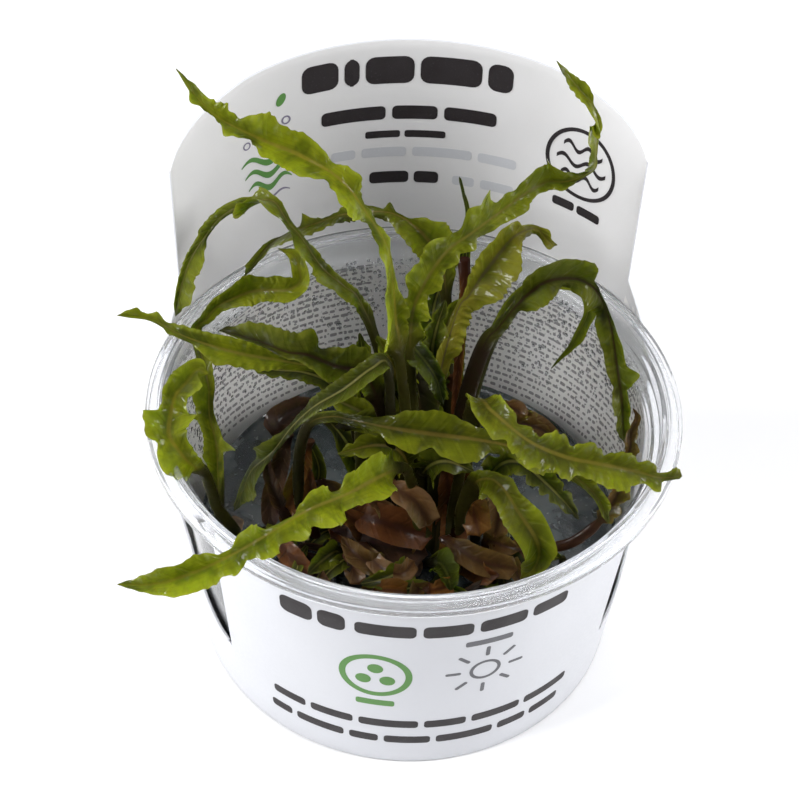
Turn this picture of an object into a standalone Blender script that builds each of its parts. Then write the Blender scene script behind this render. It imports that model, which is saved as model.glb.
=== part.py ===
# Cryptocoryne crispatula: a clump of ruffled water plants rooted in a clear cup of gel,
# with a card label wrapped round the cup and rising behind it as a round-shouldered tab.
# Metres, +Z up. The origin is the centre of the cup's base, and the label faces -Y.

import math

import bmesh
import bpy
from mathutils import Matrix, Vector

MM = 0.001             # every size below is in millimetres
GAP = 0.3              # clearance between pieces that touch
SLEEVE_GAP = 0.45      # the card's flats come nearer to the cup than its corners
POCKET_GAP = 0.38
FACETS = 48            # facets round the cup, the gel and the label

# Cup: a tapered wall with a stepped lip and a wide flange for its lid
CUP_HEIGHT = 58.5
RIM_RADIUS = 50.5      # outside of the flange
BASE_RADIUS = 41.6     # outside of the wall where it meets the base
WALL_TOP_RADIUS = 45.7  # outside of the wall under the lip's step
WALL = 0.8
FLOOR = 1.2
STEP_BOTTOM = 54.0     # the lip's step starts at this height
STEP_RADIUS = 47.4     # outside of the step
FLANGE = 0.9           # thickness of the flange
SKIRT = 2.0            # depth of the flange's turned-down edge
BEAD_RADIUS = 48.1     # a fine groove runs round the flange here

# Gel
GEL_TOP = 22.4
MENISCUS = 0.8         # how far the gel climbs the wall

# Label sleeve
CARD = 0.45
PANEL_TOP = 53.2
PANEL_HALF_ANGLE = 55.5   # the front panel, each way from -Y
NOTCH_HEIGHT = 16.0       # the side openings start at this height
TAB_HALF_ANGLE = 60.0     # the tab, each way from +Y
TAB_RADIUS = 50.9         # the tab stands just behind the flange
SHOULDER = 64.0           # the tab's side edges are clear of the wings from here up
FLARE_END = 50.0          # the back of the card leans out to the tab up to here
# Top edge of the wings: degrees from -Y, height
WING_EDGE = [(57, 16.6), (61, 17.4), (67, 20.2), (75, 26.5), (85, 34), (95, 42), (105, 50), (113, 57), (120, 64)]
# Top edge of the tab: degrees from +Y, height above the flange
TAB_EDGE = [(0, 45.2), (8, 45.1), (22, 44.6), (35, 43.6), (44, 41.8), (50, 40.6), (55, 38.6), (58, 36.8), (60, 34.6)]

# Leaves
STALK_HALF_WIDTH = 0.85
STALK_HALF_THICKNESS = 0.55
MIDRIB_HALF_THICKNESS = 0.4
RUFFLE_STEP = 4.0      # half a wave of the ruffled margin
RUFFLE_HEIGHT = 0.16   # of the blade's width
RUFFLE_SPREAD = 0.14   # how much wider the crests are
KEEL = 0.2             # rise of the margins above the midrib
FRONT_UP = Vector((0.0, -0.7, 0.714))   # blades look this way unless rolled

SLOTS = {
    "cup_clear": ((0.86, 0.88, 0.9), 0.12),
    "gel": ((0.05, 0.07, 0.085), 0.15),
    "card_white": ((0.87, 0.87, 0.9), 0.45),
    "crown_brown": ((0.09, 0.05, 0.03), 0.6),
    "leaf_green": ((0.16, 0.2, 0.02), 0.35),
    "leaf_dark": ((0.05, 0.09, 0.015), 0.35),
    "leaf_bright": ((0.27, 0.34, 0.04), 0.35),
    "leaf_brown": ((0.2, 0.1, 0.04), 0.45),
    "leaf_red": ((0.11, 0.03, 0.015), 0.45),
}

# Crowns: the short rootstocks that the leaves rise from. Centre, radius, depth in the gel.
CROWNS = {
    "crown_centre_left": ((-4, -2), 6.2, 8),
    "crown_centre_right": ((8, -3), 6.2, 8),
    "crown_front": ((0, -12), 3.6, 6),
    "crown_left": ((-20, -3), 4.2, 7),
    "crown_left_edge": ((-36, 0), 3.4, 6),
    "crown_right": ((22, -9), 3.6, 6),
}


def leaf(wide, stalk, roll, slot, route, ruffle=1.0):
    """One leaf's shape: its widest blade, the share of its length that is stalk, the roll of
    its blade in degrees at even steps along it, its material and the midrib's way points."""
    return dict(wide=wide, stalk=stalk, roll=roll, slot=slot, route=route, ruffle=ruffle)


LEAVES = {
    # the tallest leaf sweeps back and left over the tab's shoulder
    "tall_left_leaf": leaf(8.5, 0.4, [0, 0, 0, 0, 30, 60, 60, 35, 10, 0, 0], "leaf_bright", [
        (-2, -6, 23.4), (-2, -5, 43), (-2, -4, 58), (-4, -2, 76), (-6, -2, 88), (-6, -1, 96),
        (-10, 1, 102), (-15, 2, 107), (-21, 6, 110), (-28, 8, 114), (-35, 10, 118), (-41, 16, 122)]),
    # rises beside it, leans right and turns up again at its tip
    "tall_right_leaf": leaf(7, 0.36, [0, 0, 0, 0, 0, 20, 40, 50, 60, 40, 20], "leaf_green", [
        (3, -5, 23.4), (1, -4, 45), (-1, -1, 64), (-1, 2, 77), (1, 3, 84), (5, 6, 89),
        (10, 9, 91), (15, 13, 92), (19, 16, 93), (24, 19, 94), (28, 18, 95), (32, 17, 98),
        (32, 16, 102), (32, 17, 105), (31, 19, 108), (30, 19, 111), (28, 20, 114), (23, 21, 119)]),
    # high arch that comes down outside the cup's left edge
    "left_arch_leaf": leaf(6, 0.4, [0, 0, 10, 20, 20, 40, 50, 30, 10, 10], "leaf_green", [
        (-3, 2, 23.4), (-3, 4, 43), (-6, 7, 62), (-10, 10, 74), (-13, 11, 77), (-17, 13, 80),
        (-21, 16, 84), (-23, 19, 86), (-25, 23, 88), (-29, 26, 86), (-33, 26, 84), (-36, 26, 81),
        (-39, 25, 78), (-42, 23, 74), (-44, 21, 69), (-45, 19, 63)]),
    # low leaf that crosses behind the tall pair
    "low_cross_leaf": leaf(6.5, 0.45, [0, 0, 0, 0, 0, 60, 60], "leaf_dark", [
        (7, 1, 23.4), (7, 4, 48), (7, 12, 64), (6, 19, 75), (3, 22, 79), (-1, 24, 82),
        (-5, 25, 83), (-10, 27, 81), (-13, 29, 79), (-18, 30, 76), (-23, 31, 73), (-27, 32, 69),
        (-30, 31, 65), (-32, 31, 62)]),
    "left_inner_leaf": leaf(5.5, 0.1, [0, 0, 0, 30, 40, 0, 0], "leaf_green", [
        (-37, 1, 23.4), (-38, -1, 28), (-38, 1, 36), (-38, 3, 44), (-39, 5, 50), (-39, 8, 55),
        (-39, 11, 60), (-39, 14, 63), (-40, 17, 66), (-37, 17, 69), (-32, 18, 71), (-27, 18, 72),
        (-23, 17, 73), (-21, 18, 75), (-22, 20, 77), (-25, 23, 78)]),
    "left_curled_leaf": leaf(6, 0.5, [0, 0, 0, 0], "leaf_bright", [
        (-35, -2, 23.4), (-38, -5, 34), (-39, -7, 42), (-40, -7, 50), (-41, -7, 56),
        (-43, -9, 63), (-43, -9, 67), (-42, -7, 71), (-39, -6, 72), (-37, -5, 71)]),
    "fold_down_leaf": leaf(5, 0.5, [0, 0, 30, 40, 30, 20], "leaf_green", [
        (-6, -5, 23.4), (-5, -6, 42), (-5, -7, 60), (-6, -6, 73), (-9, -9, 75), (-14, -11, 72),
        (-19, -10, 67), (-23, -8, 60), (-27, -8, 53), (-31, -6, 46), (-33, -5, 39), (-35, -5, 33)]),
    # its pale midrib runs level across the front of the clump
    "front_cross_leaf": leaf(9.5, 0.3, [0, 0, 0, 0, 0, 10, 20], "leaf_dark", [
        (-20, -2, 23.4), (-22, -2, 32), (-22, -2, 45), (-20, -3, 55), (-16, -6, 60), (-12, -9, 62),
        (-6, -12, 63), (2, -14, 63), (11, -15, 62), (19, -16, 60), (27, -17, 55), (33, -18, 49),
        (36, -19, 42)]),
    # bright leaf that leaves the cup at the front left
    "front_left_leaf": leaf(7.5, 0.35, [0, 0, 0, 0, 0, 0], "leaf_bright", [
        (-1, -10, 23.4), (1, -9, 35), (-1, -10, 46), (-3, -14, 54), (-7, -19, 58), (-14, -26, 61),
        (-21, -32, 64), (-28, -38, 65), (-34, -43, 66), (-41, -46, 65), (-47, -47, 64), (-53, -46, 63)]),
    "right_reach_leaf": leaf(8.5, 0.44, [0, 0, 0, 0, 0, 0], "leaf_bright", [
        (7, -9, 23.4), (8, -8, 38), (9, -7, 54), (11, -7, 62), (12, -10, 68), (14, -16, 72),
        (19, -23, 71), (24, -27, 70), (30, -28, 69), (36, -28, 67), (41, -28, 65), (46, -27, 63)]),
    "front_right_leaf": leaf(7, 0.4, [0, 0, 0, 0, 0, 20], "leaf_bright", [
        (10, -9, 23.4), (9, -10, 36), (11, -10, 44), (12, -12, 48), (14, -14, 50), (16, -17, 50),
        (18, -20, 48), (21, -24, 45), (22, -25, 41), (21, -26, 38), (19, -25, 34)]),
    # dark stalk that leans right and comes down along the cup's right wall
    "right_arch_leaf": leaf(6, 0.42, [0, 0, 0, 20, 40, 20, 0], "leaf_dark", [
        (9, -5, 23.4), (8, -4, 42), (9, -1, 58), (12, 4, 68), (15, 6, 71), (18, 8, 74),
        (21, 10, 76), (25, 10, 78), (30, 11, 78), (34, 11, 76), (37, 11, 72), (38, 9, 68),
        (39, 7, 64), (40, 5, 61), (40, 2, 58), (40, 0, 55), (40, -2, 50), (40, -3, 47)]),
    "thin_hanging_leaf": leaf(2.8, 0.5, [0, 0, 0, 0], "leaf_green", [
        (12, 0, 23.4), (11, 2, 48), (14, 8, 60), (19, 15, 67), (25, 18, 70), (30, 19, 71),
        (34, 18, 70), (36, 17, 67), (36, 15, 64), (34, 14, 61), (32, 13, 58), (29, 12, 55),
        (28, 12, 53)], 0.4),
    "broad_pale_leaf": leaf(8, 0.45, [0, 0, 10, 10, 10, 20, 20], "leaf_bright", [
        (5, -2, 23.4), (4, -2, 42), (4, 1, 57), (8, 9, 71), (11, 11, 74), (14, 13, 77),
        (17, 16, 81), (19, 17, 83), (22, 19, 83), (24, 20, 82), (26, 19, 80), (28, 20, 78)]),
    "upright_shoot": leaf(2.2, 0.3, [0, 0], "leaf_dark", [
        (9, 2, 23.4), (9, 7, 52), (10, 15, 70), (11, 23, 82), (10, 25, 87), (9, 25, 91)], 0.3),
    "dark_pointed_leaf": leaf(5, 0.5, [0, 0, 0, 0], "leaf_dark", [
        (0, 0, 23.4), (2, 1, 44), (0, 5, 58), (-1, 7, 67), (2, 3, 69), (5, 0, 68), (7, -1, 65)]),
    "back_dark_leaf": leaf(5, 0.5, [0, 0, 0], "leaf_dark", [
        (4, 1, 23.4), (4, 6, 44), (4, 12, 59), (5, 18, 66), (8, 21, 72), (11, 23, 76)]),
    "long_left_leaf": leaf(5, 0.3, [0, 0, 0, 0], "leaf_green", [
        (-9, -2, 23.4), (-10, -1, 41), (-10, 2, 54), (-9, 4, 61), (-12, 3, 63), (-18, 2, 65),
        (-25, 2, 67), (-32, 3, 68), (-39, 5, 69), (-44, 7, 70), (-49, 10, 71), (-55, 10, 72)]),
    "broad_left_leaf": leaf(7.5, 0.5, [0, 0, 0, 0], "leaf_dark", [
        (-5, -1, 23.4), (-5, -1, 46), (-7, -2, 59), (-10, -3, 68), (-15, -4, 71), (-20, -4, 74),
        (-24, -4, 75), (-29, -2, 76), (-36, 1, 76)]),
    "low_left_leaf": leaf(4.5, 0.4, [0, 0, 0], "leaf_dark", [
        (-9, 0, 23.4), (-10, 2, 40), (-12, 5, 51), (-16, 7, 56), (-21, 8, 58), (-27, 9, 58),
        (-33, 11, 59), (-36, 13, 60)]),
    "right_wall_leaf": leaf(4, 0.4, [0, 0, 0], "leaf_brown", [
        (21, -9, 23.4), (26, -12, 27), (31, -14, 31), (36, -13, 36), (39, -11, 41), (40, -9, 46),
        (41, -7, 50), (41, -6, 53), (42, -5, 56), (41, -4, 58)]),
    "right_low_leaf": leaf(6, 0.4, [0, 0, 0], "leaf_dark", [
        (13, -6, 23.4), (13, -6, 36), (16, -7, 46), (20, -8, 48), (24, -12, 47), (28, -15, 44),
        (31, -16, 40)]),
    # small young leaves low at the front
    "low_front_leaf_1": leaf(5, 0.25, [0, 0, 0], "leaf_bright", [
        (-14, -11, 23.4), (-15, -11, 27), (-18, -14, 28), (-21, -18, 29)]),
    "low_front_leaf_2": leaf(5, 0.2, [0, 0, 0], "leaf_dark", [
        (-1, -13, 23.4), (-2, -16, 27), (-6, -19, 28), (-11, -21, 29)]),
    "low_front_leaf_3": leaf(5.5, 0.2, [0, 0, 0], "leaf_dark", [
        (3, -12, 23.4), (5, -15, 27), (6, -20, 29), (6, -25, 31)]),
    # old brown and red leaves that have sunk round the crowns
    "old_tan_leaf": leaf(5, 0.2, [0, 0, 0], "leaf_brown", [
        (-4, -8, 23.8), (-4, -8, 30), (-6, -7, 35), (-9, -7, 37)]),
    "old_red_leaf_1": leaf(5, 0.2, [0, 0, 0], "leaf_red", [
        (-8, -8, 23.8), (-9, -8, 28), (-12, -7, 32), (-16, -6, 33)]),
    "old_brown_leaf_1": leaf(5, 0.2, [0, 0, 0], "leaf_brown", [
        (14, -3, 23.4), (14, -4, 28), (16, -4, 31), (19, -3, 32)]),
    "old_brown_leaf_2": leaf(5, 0.2, [0, 0, 0], "leaf_brown", [
        (15, -10, 23.4), (15, -9, 26), (18, -12, 28), (21, -14, 29)]),
    "old_red_leaf_2": leaf(6, 0.2, [0, 0, 0], "leaf_red", [
        (7, -13, 23.4), (10, -14, 26), (13, -18, 27), (16, -20, 29)]),
    "old_curled_leaf": leaf(5, 0.2, [0, 0, 0], "leaf_brown", [
        (-4, -12, 23.4), (-6, -14, 26), (-9, -15, 28), (-12, -13, 29), (-14, -9, 29)]),
    "old_stalk_1": leaf(3.5, 0.3, [0, 0, 0], "leaf_red", [
        (-19, -5, 23.4), (-20, -5, 31), (-20, -4, 38), (-20, -3, 43)]),
    "old_stalk_2": leaf(3, 0.3, [0, 0, 0], "leaf_red", [
        (-23, -3, 23.4), (-26, -2, 31), (-28, 0, 38), (-28, 2, 43)]),
    "old_back_leaf": leaf(7, 0.2, [0, 0, 0], "leaf_red", [
        (-25, 19, 24.4), (-26, 25, 25.4), (-22, 29, 26), (-17, 31, 26)]),
    "old_orange_leaf": leaf(4.5, 0.3, [0, 0, 0], "leaf_brown", [
        (6, 3, 23.4), (8, 8, 40), (9, 12, 49), (9, 17, 55)]),
    "old_side_leaf": leaf(4.5, 0.2, [0, 0, 0], "leaf_brown", [
        (16, 21, 24.4), (23, 23, 26), (28, 21, 27), (32, 18, 27)]),
    "dark_floor_leaf": leaf(6, 0.2, [0, 0, 0], "leaf_red", [
        (-20, -10, 24.7), (-23, -12, 25.8), (-26, -15, 26), (-29, -17, 26)]),
}


def make_slots():
    slots = {}
    for name, (colour, roughness) in SLOTS.items():
        material = bpy.data.materials.new(name)
        material.use_nodes = True
        material.diffuse_color = (*colour, 1)
        shader = material.node_tree.nodes["Principled BSDF"]
        shader.inputs["Base Color"].default_value = (*colour, 1)
        shader.inputs["Roughness"].default_value = roughness
        slots[name] = material
    return slots


def add_object(name, bm, material):
    mesh = bpy.data.meshes.new(name)
    bm.to_mesh(mesh)
    bm.free()
    mesh.materials.append(material)
    thing = bpy.data.objects.new(name, mesh)
    bpy.context.scene.collection.objects.link(thing)
    return thing


def shade_round(thing, degrees=35):
    thing.data.shade_smooth()
    thing.data.set_sharp_from_angle(angle=math.radians(degrees))


def turned(name, profile, material):
    """A turned solid: the profile's (radius, height) points run from the axis back to it."""
    bm = bmesh.new()
    ring = [bm.verts.new((r * MM, 0, z * MM)) for r, z in profile]
    edges = [bm.edges.new(pair) for pair in zip(ring, ring[1:])]
    bmesh.ops.spin(bm, geom=ring + edges, cent=(0, 0, 0), axis=(0, 0, 1),
                   angle=math.tau, steps=FACETS)
    bmesh.ops.remove_doubles(bm, verts=bm.verts, dist=0.00001)
    bmesh.ops.recalc_face_normals(bm, faces=bm.faces)
    return add_object(name, bm, material)


def wall_radius(z):
    """Outside radius of the cup's tapered wall at a height."""
    return BASE_RADIUS + (WALL_TOP_RADIUS - BASE_RADIUS) * z / STEP_BOTTOM


def make_cup(material):
    inner_top = WALL_TOP_RADIUS - WALL
    step_inner = STEP_RADIUS - WALL
    top = CUP_HEIGHT
    profile = [
        (0, 0),
        (BASE_RADIUS - 1, 0),
        (BASE_RADIUS, 1),
        (WALL_TOP_RADIUS, STEP_BOTTOM - 0.6),
        (STEP_RADIUS, STEP_BOTTOM),
        (STEP_RADIUS, top - FLANGE),
        (RIM_RADIUS - 0.8, top - FLANGE),
        (RIM_RADIUS - 0.8, top - SKIRT),
        (RIM_RADIUS, top - SKIRT),
        (RIM_RADIUS, top - 0.5),
        (RIM_RADIUS - 0.5, top),
        (BEAD_RADIUS + 0.2, top),
        (BEAD_RADIUS, top - 0.3),
        (BEAD_RADIUS - 0.2, top),
        (step_inner + 0.4, top),
        (step_inner, top - 0.5),
        (step_inner - 0.2, STEP_BOTTOM + 0.9),
        (inner_top, STEP_BOTTOM + 0.2),
        (wall_radius(FLOOR + 1) - WALL, FLOOR + 1),
        (BASE_RADIUS - WALL - 1, FLOOR),
        (0, FLOOR),
    ]
    cup = turned("cup", profile, material)
    shade_round(cup)


def make_gel(material, cutters):
    bottom = FLOOR + GAP
    low = wall_radius(bottom) - WALL - GAP - 0.9
    side = wall_radius(FLOOR + 2) - WALL - GAP
    rim = wall_radius(GEL_TOP + MENISCUS) - WALL - GAP
    profile = [
        (0, bottom),
        (low, bottom),
        (side - 0.05, FLOOR + 2),
        (rim - 0.05, GEL_TOP + MENISCUS),
        (rim - 0.6, GEL_TOP + 0.2),
        (rim - 2.2, GEL_TOP),
        (0, GEL_TOP),
    ]
    gel = turned("gel", profile, material)
    shade_round(gel)
    for cutter in cutters:
        pocket = gel.modifiers.new("pocket", "BOOLEAN")
        pocket.operation = "DIFFERENCE"
        pocket.solver = "EXACT"
        pocket.object = cutter


def crown_mesh(name, centre, radius, depth, grow, material):
    """A knobbly stub that widens to the gel's surface and tapers to a root tip."""
    sides = 10
    levels = [(0.35, -depth), (0.8, -depth * 0.6), (1.0, -depth * 0.25), (0.97, 0.3), (0.8, 0.65)]
    bm = bmesh.new()
    rings = []
    for share, height in levels:
        ring = []
        for i in range(sides):
            angle = math.tau * i / sides
            knob = 1 - 0.08 * (1 + math.cos(3 * angle + 4 * share))
            reach = radius * share * knob + grow
            lift = height
            if height == -depth:
                lift -= grow
            elif height > 0.3:
                lift += grow
            ring.append(bm.verts.new((
                (centre[0] + reach * math.cos(angle)) * MM,
                (centre[1] + reach * math.sin(angle)) * MM,
                (GEL_TOP + lift) * MM)))
        rings.append(ring)
    for lower, upper in zip(rings, rings[1:]):
        for i in range(sides):
            j = (i + 1) % sides
            bm.faces.new((lower[i], lower[j], upper[j], upper[i]))
    bm.faces.new(reversed(rings[0]))
    bm.faces.new(rings[-1])
    return add_object(name, bm, material)


def make_crowns(material):
    """The crowns, and for each a guide a little larger that hollows its pocket in the gel."""
    cutters = []
    for name, (centre, radius, depth) in CROWNS.items():
        crown = crown_mesh(name, centre, radius, depth, 0, material)
        shade_round(crown, 50)
        cutter = crown_mesh(name + "_pocket", centre, radius, depth, POCKET_GAP, material)
        cutter.hide_render = True
        cutter.display_type = "WIRE"
        cutters.append(cutter)
    return cutters


def between(table, at):
    """The value at a place in a table of (place, value) rows."""
    for (a, low), (b, high) in zip(table, table[1:]):
        if at <= b:
            return low + (high - low) * max(0.0, (at - a) / (b - a))
    return table[-1][1]


def ease(t):
    t = min(1.0, max(0.0, t))
    return t * t * (3 - 2 * t)


def card_radius(z, from_front):
    """Radius of the card's inner face: on the wall, and flared to the tab at the back."""
    on_wall = wall_radius(z) + SLEEVE_GAP
    spread = ease((from_front - 75) / 40)
    flare = 1 - max(0.0, 1 - z / FLARE_END) ** 2
    return on_wall + (TAB_RADIUS - on_wall) * flare * spread


def make_sleeve(material):
    columns = [7.5 * i for i in range(8)]
    columns += [PANEL_HALF_ANGLE, 57, 61, 67, 75, 85, 95, 105, 113, 120]
    columns += [180 - a for a in (58, 55, 50, 44, 35, 26, 17, 8, 0)]
    columns.sort()
    right = [a for a in columns if a < 180]
    ring = [-a for a in reversed(right) if a > 0] + right + [180]
    bm = bmesh.new()
    grid = {}

    def vertex(angle, row, z):
        key = (180 if abs(angle) == 180 else angle, row)
        if key not in grid:
            radius = card_radius(z, abs(angle))
            turn = math.radians(angle)
            grid[key] = bm.verts.new((radius * math.sin(turn) * MM, -radius * math.cos(turn) * MM, z * MM))
        return grid[key]

    def strip(angle, following, lows, highs, row):
        corners = (vertex(angle, row, lows[0]), vertex(following, row, lows[1]),
                   vertex(following, row + 1, highs[1]), vertex(angle, row + 1, highs[0]))
        bm.faces.new(corners)

    wing_rows = 5
    for angle, following in zip(ring, ring[1:] + ring[:1]):
        ends = (abs(angle), abs(following))
        strip(angle, following, (0.3, 0.3), (NOTCH_HEIGHT, NOTCH_HEIGHT), 0)
        if max(ends) <= PANEL_HALF_ANGLE:
            strip(angle, following, (NOTCH_HEIGHT,) * 2, (PANEL_TOP,) * 2, 1)
        elif min(ends) >= 57:
            tops = [between(WING_EDGE, a) if a < 120 else SHOULDER for a in ends]
            for row in range(wing_rows):
                lows = [NOTCH_HEIGHT + (top - NOTCH_HEIGHT) * row / wing_rows for top in tops]
                highs = [NOTCH_HEIGHT + (top - NOTCH_HEIGHT) * (row + 1) / wing_rows for top in tops]
                strip(angle, following, lows, highs, row + 1)
            if min(ends) >= 180 - TAB_HALF_ANGLE:
                crest = [CUP_HEIGHT + between(TAB_EDGE, 180 - a) for a in ends]
                strip(angle, following, (SHOULDER,) * 2, crest, wing_rows + 1)
    bmesh.ops.recalc_face_normals(bm, faces=bm.faces)
    sleeve = add_object("label_sleeve", bm, material)
    thicken = sleeve.modifiers.new("card", "SOLIDIFY")
    thicken.thickness = CARD * MM
    thicken.offset = 1
    shade_round(sleeve, 30)


def smooth_route(points):
    """Even steps along a smooth curve through the way points."""
    points = [Vector(p) for p in points]
    knots = [points[0] * 2 - points[1]] + points + [points[-1] * 2 - points[-2]]
    fine = []
    for a, b, c, d in zip(knots, knots[1:], knots[2:], knots[3:]):
        for i in range(12):
            t = i / 12
            fine.append(0.5 * (2 * b + (c - a) * t + (2 * a - 5 * b + 4 * c - d) * t ** 2
                               + (3 * b - a - 3 * c + d) * t ** 3))
    fine.append(points[-1])
    reach = [0.0]
    for a, b in zip(fine, fine[1:]):
        reach.append(reach[-1] + (b - a).length)
    count = max(6, round(reach[-1] / RUFFLE_STEP))
    line = []
    j = 0
    for i in range(count + 1):
        at = reach[-1] * i / count
        while j < len(fine) - 2 and reach[j + 1] < at:
            j += 1
        line.append(fine[j].lerp(fine[j + 1], (at - reach[j]) / (reach[j + 1] - reach[j])))
    return line


def blade_width(share):
    """Half width of the blade along it, as a share of the widest: quick to widen, long to taper."""
    widen = min(1.0, share / 0.16) ** 0.7
    taper = (1 - share ** 3) ** 0.8
    return widen * taper


def spread(values, t):
    """A value from a list of values spaced evenly along the leaf."""
    at = t * (len(values) - 1)
    i = min(int(at), len(values) - 2)
    return values[i] + (values[i + 1] - values[i]) * (at - i)


def make_leaf(name, spec, material):
    line = smooth_route(spec["route"])
    last = len(line) - 1
    bm = bmesh.new()
    rings = []
    side = None
    for i, here in enumerate(line[:-1]):
        t = i / last
        along = (line[i + 1] - line[max(0, i - 1)]).normalized() if i else Vector((0, 0, 1))
        across = along.cross(FRONT_UP)
        if side is not None:
            steady = side - along * side.dot(along)
            if across.length < 0.35:
                across = steady
            elif across.dot(steady) < 0:
                across = -across
        side = across.normalized()
        turned_side = Matrix.Rotation(math.radians(spread(spec["roll"], t)), 3, along) @ side
        up = turned_side.cross(along)
        half = STALK_HALF_WIDTH
        thick = STALK_HALF_THICKNESS
        wave = 0.0
        if t > spec["stalk"]:
            share = (t - spec["stalk"]) / (1 - spec["stalk"])
            half = max(0.3, 0.5 * spec["wide"] * blade_width(share))
            thick = MIDRIB_HALF_THICKNESS
            wave = spec["ruffle"] * (1 if i % 2 else -1)
        rise = half * KEEL if wave else 0.0
        left = here + turned_side * half * (1 + RUFFLE_SPREAD * wave)
        left += up * (rise + wave * RUFFLE_HEIGHT * 2 * half)
        right = here - turned_side * half * (1 - RUFFLE_SPREAD * wave)
        right += up * (rise - wave * RUFFLE_HEIGHT * 2 * half)
        corners = (left, here + up * thick, right, here - up * thick)
        rings.append([bm.verts.new(c * MM) for c in corners])
    for lower, upper in zip(rings, rings[1:]):
        for i in range(4):
            j = (i + 1) % 4
            bm.faces.new((lower[i], lower[j], upper[j], upper[i]))
    bm.faces.new(reversed(rings[0]))
    tip = bm.verts.new(line[-1] * MM)
    for i in range(4):
        bm.faces.new((rings[-1][i], rings[-1][(i + 1) % 4], tip))
    bmesh.ops.triangulate(bm, faces=bm.faces)
    if bm.calc_volume(signed=True) < 0:
        bmesh.ops.reverse_faces(bm, faces=bm.faces)
    thing = add_object(name, bm, material)
    shade_round(thing, 50)


def main():
    for thing in list(bpy.data.objects):
        bpy.data.objects.remove(thing)
    slots = make_slots()
    make_cup(slots["cup_clear"])
    make_gel(slots["gel"], make_crowns(slots["crown_brown"]))
    make_sleeve(slots["card_white"])
    for name, spec in LEAVES.items():
        make_leaf(name, spec, slots[spec["slot"]])


main()
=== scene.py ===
import math
import random

import bpy
import numpy as np
from mathutils import Matrix, Vector, noise


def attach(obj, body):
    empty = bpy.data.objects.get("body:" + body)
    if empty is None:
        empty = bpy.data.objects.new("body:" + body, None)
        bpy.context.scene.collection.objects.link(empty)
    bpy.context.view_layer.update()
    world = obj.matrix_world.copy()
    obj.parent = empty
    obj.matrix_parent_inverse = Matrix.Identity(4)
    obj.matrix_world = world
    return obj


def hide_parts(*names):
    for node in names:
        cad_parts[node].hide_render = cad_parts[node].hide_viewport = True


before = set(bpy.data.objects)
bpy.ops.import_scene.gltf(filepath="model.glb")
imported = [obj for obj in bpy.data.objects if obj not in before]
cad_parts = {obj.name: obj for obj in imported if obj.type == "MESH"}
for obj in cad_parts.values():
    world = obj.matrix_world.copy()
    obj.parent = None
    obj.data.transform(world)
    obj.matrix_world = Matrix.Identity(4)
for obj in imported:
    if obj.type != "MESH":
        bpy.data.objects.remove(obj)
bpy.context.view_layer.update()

mm = 0.001
print("frame loaded,", len(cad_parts), "nodes")


# small helpers

def pick(things):
    bpy.ops.object.select_all(action="DESELECT")
    for thing in things:
        thing.select_set(True)
    bpy.context.view_layer.objects.active = things[0]


def joined(things):
    pick(things)
    bpy.ops.object.join()
    return bpy.context.object


def editMesh(piece, *steps):
    # each step is an edit-mode operator on the whole mesh
    pick([piece])
    bpy.ops.object.mode_set(mode="EDIT")
    bpy.ops.mesh.select_all(action="SELECT")
    for step in steps:
        step()
    bpy.ops.object.mode_set(mode="OBJECT")


def faceOut():
    bpy.ops.mesh.normals_make_consistent(inside=False)


def fillEnds():
    bpy.ops.mesh.fill_holes(sides=0)


def weld(gap):
    return lambda: bpy.ops.mesh.remove_doubles(threshold=gap)


def ease(t):
    t = np.clip(t, 0.0, 1.0)
    return t * t * (3 - 2 * t)


def readPoints(piece):
    points = np.empty(len(piece.data.vertices) * 3)
    piece.data.vertices.foreach_get("co", points)
    return points.reshape(-1, 3)


def writePoints(piece, points):
    piece.data.vertices.foreach_set("co", np.asarray(points, dtype=float).ravel())
    piece.data.update()


def settle(piece):
    # the piece's place goes into its mesh
    pick([piece])
    bpy.ops.object.transform_apply(location=True, rotation=True, scale=True)


def keepOutside(piece):
    # a negative volume means that the faces point inwards
    piece.data.calc_loop_triangles()
    corners = np.empty(len(piece.data.loop_triangles) * 3, dtype=int)
    piece.data.loop_triangles.foreach_get("vertices", corners)
    a, b, c = readPoints(piece)[corners.reshape(-1, 3)].transpose(1, 0, 2)
    if np.einsum("ij,ij->i", a, np.cross(b, c)).sum() < 0:
        editMesh(piece, bpy.ops.mesh.flip_normals)


def applyModifier(piece, kind, **settings):
    made = piece.modifiers.new("step", kind)
    for key, value in settings.items():
        setattr(made, key, value)
    bpy.ops.object.modifier_apply(modifier="step")


def finish(piece, name, material, nodes=(), angle=40):
    piece.name = name
    piece.data.name = name
    piece.data.materials.clear()
    piece.data.materials.append(material)
    pick([piece])
    bpy.ops.object.shade_smooth_by_angle(angle=math.radians(angle))
    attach(piece, "root")
    if nodes:
        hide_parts(*nodes)


def feed(tree, node, values):
    # an input gets another node's output or a plain value
    for socket, value in values.items():
        if isinstance(value, bpy.types.NodeSocket):
            tree.links.new(value, node.inputs[socket])
        else:
            node.inputs[socket].default_value = value


def addNode(tree, kind, values, **settings):
    made = tree.nodes.new("ShaderNode" + kind)
    for key, value in settings.items():
        setattr(made, key, value)
    feed(tree, made, values)
    return made.outputs


def newMaterial(name):
    material = bpy.data.materials.new(name)
    material.use_nodes = True
    return material, material.node_tree, material.node_tree.nodes["Principled BSDF"]


def mathNode(tree, operation, first, second=0.0, clamp=False):
    return addNode(tree, "Math", {0: first, 1: second}, operation=operation, use_clamp=clamp)[0]


def times(tree, first, second):
    return mathNode(tree, "MULTIPLY", first, second)


def rangeNode(tree, value, low, high, start=0.0, end=1.0):
    values = {"Value": value, "From Min": low, "From Max": high, "To Min": start, "To Max": end}
    return addNode(tree, "MapRange", values, interpolation_type="SMOOTHSTEP")[0]


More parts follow.
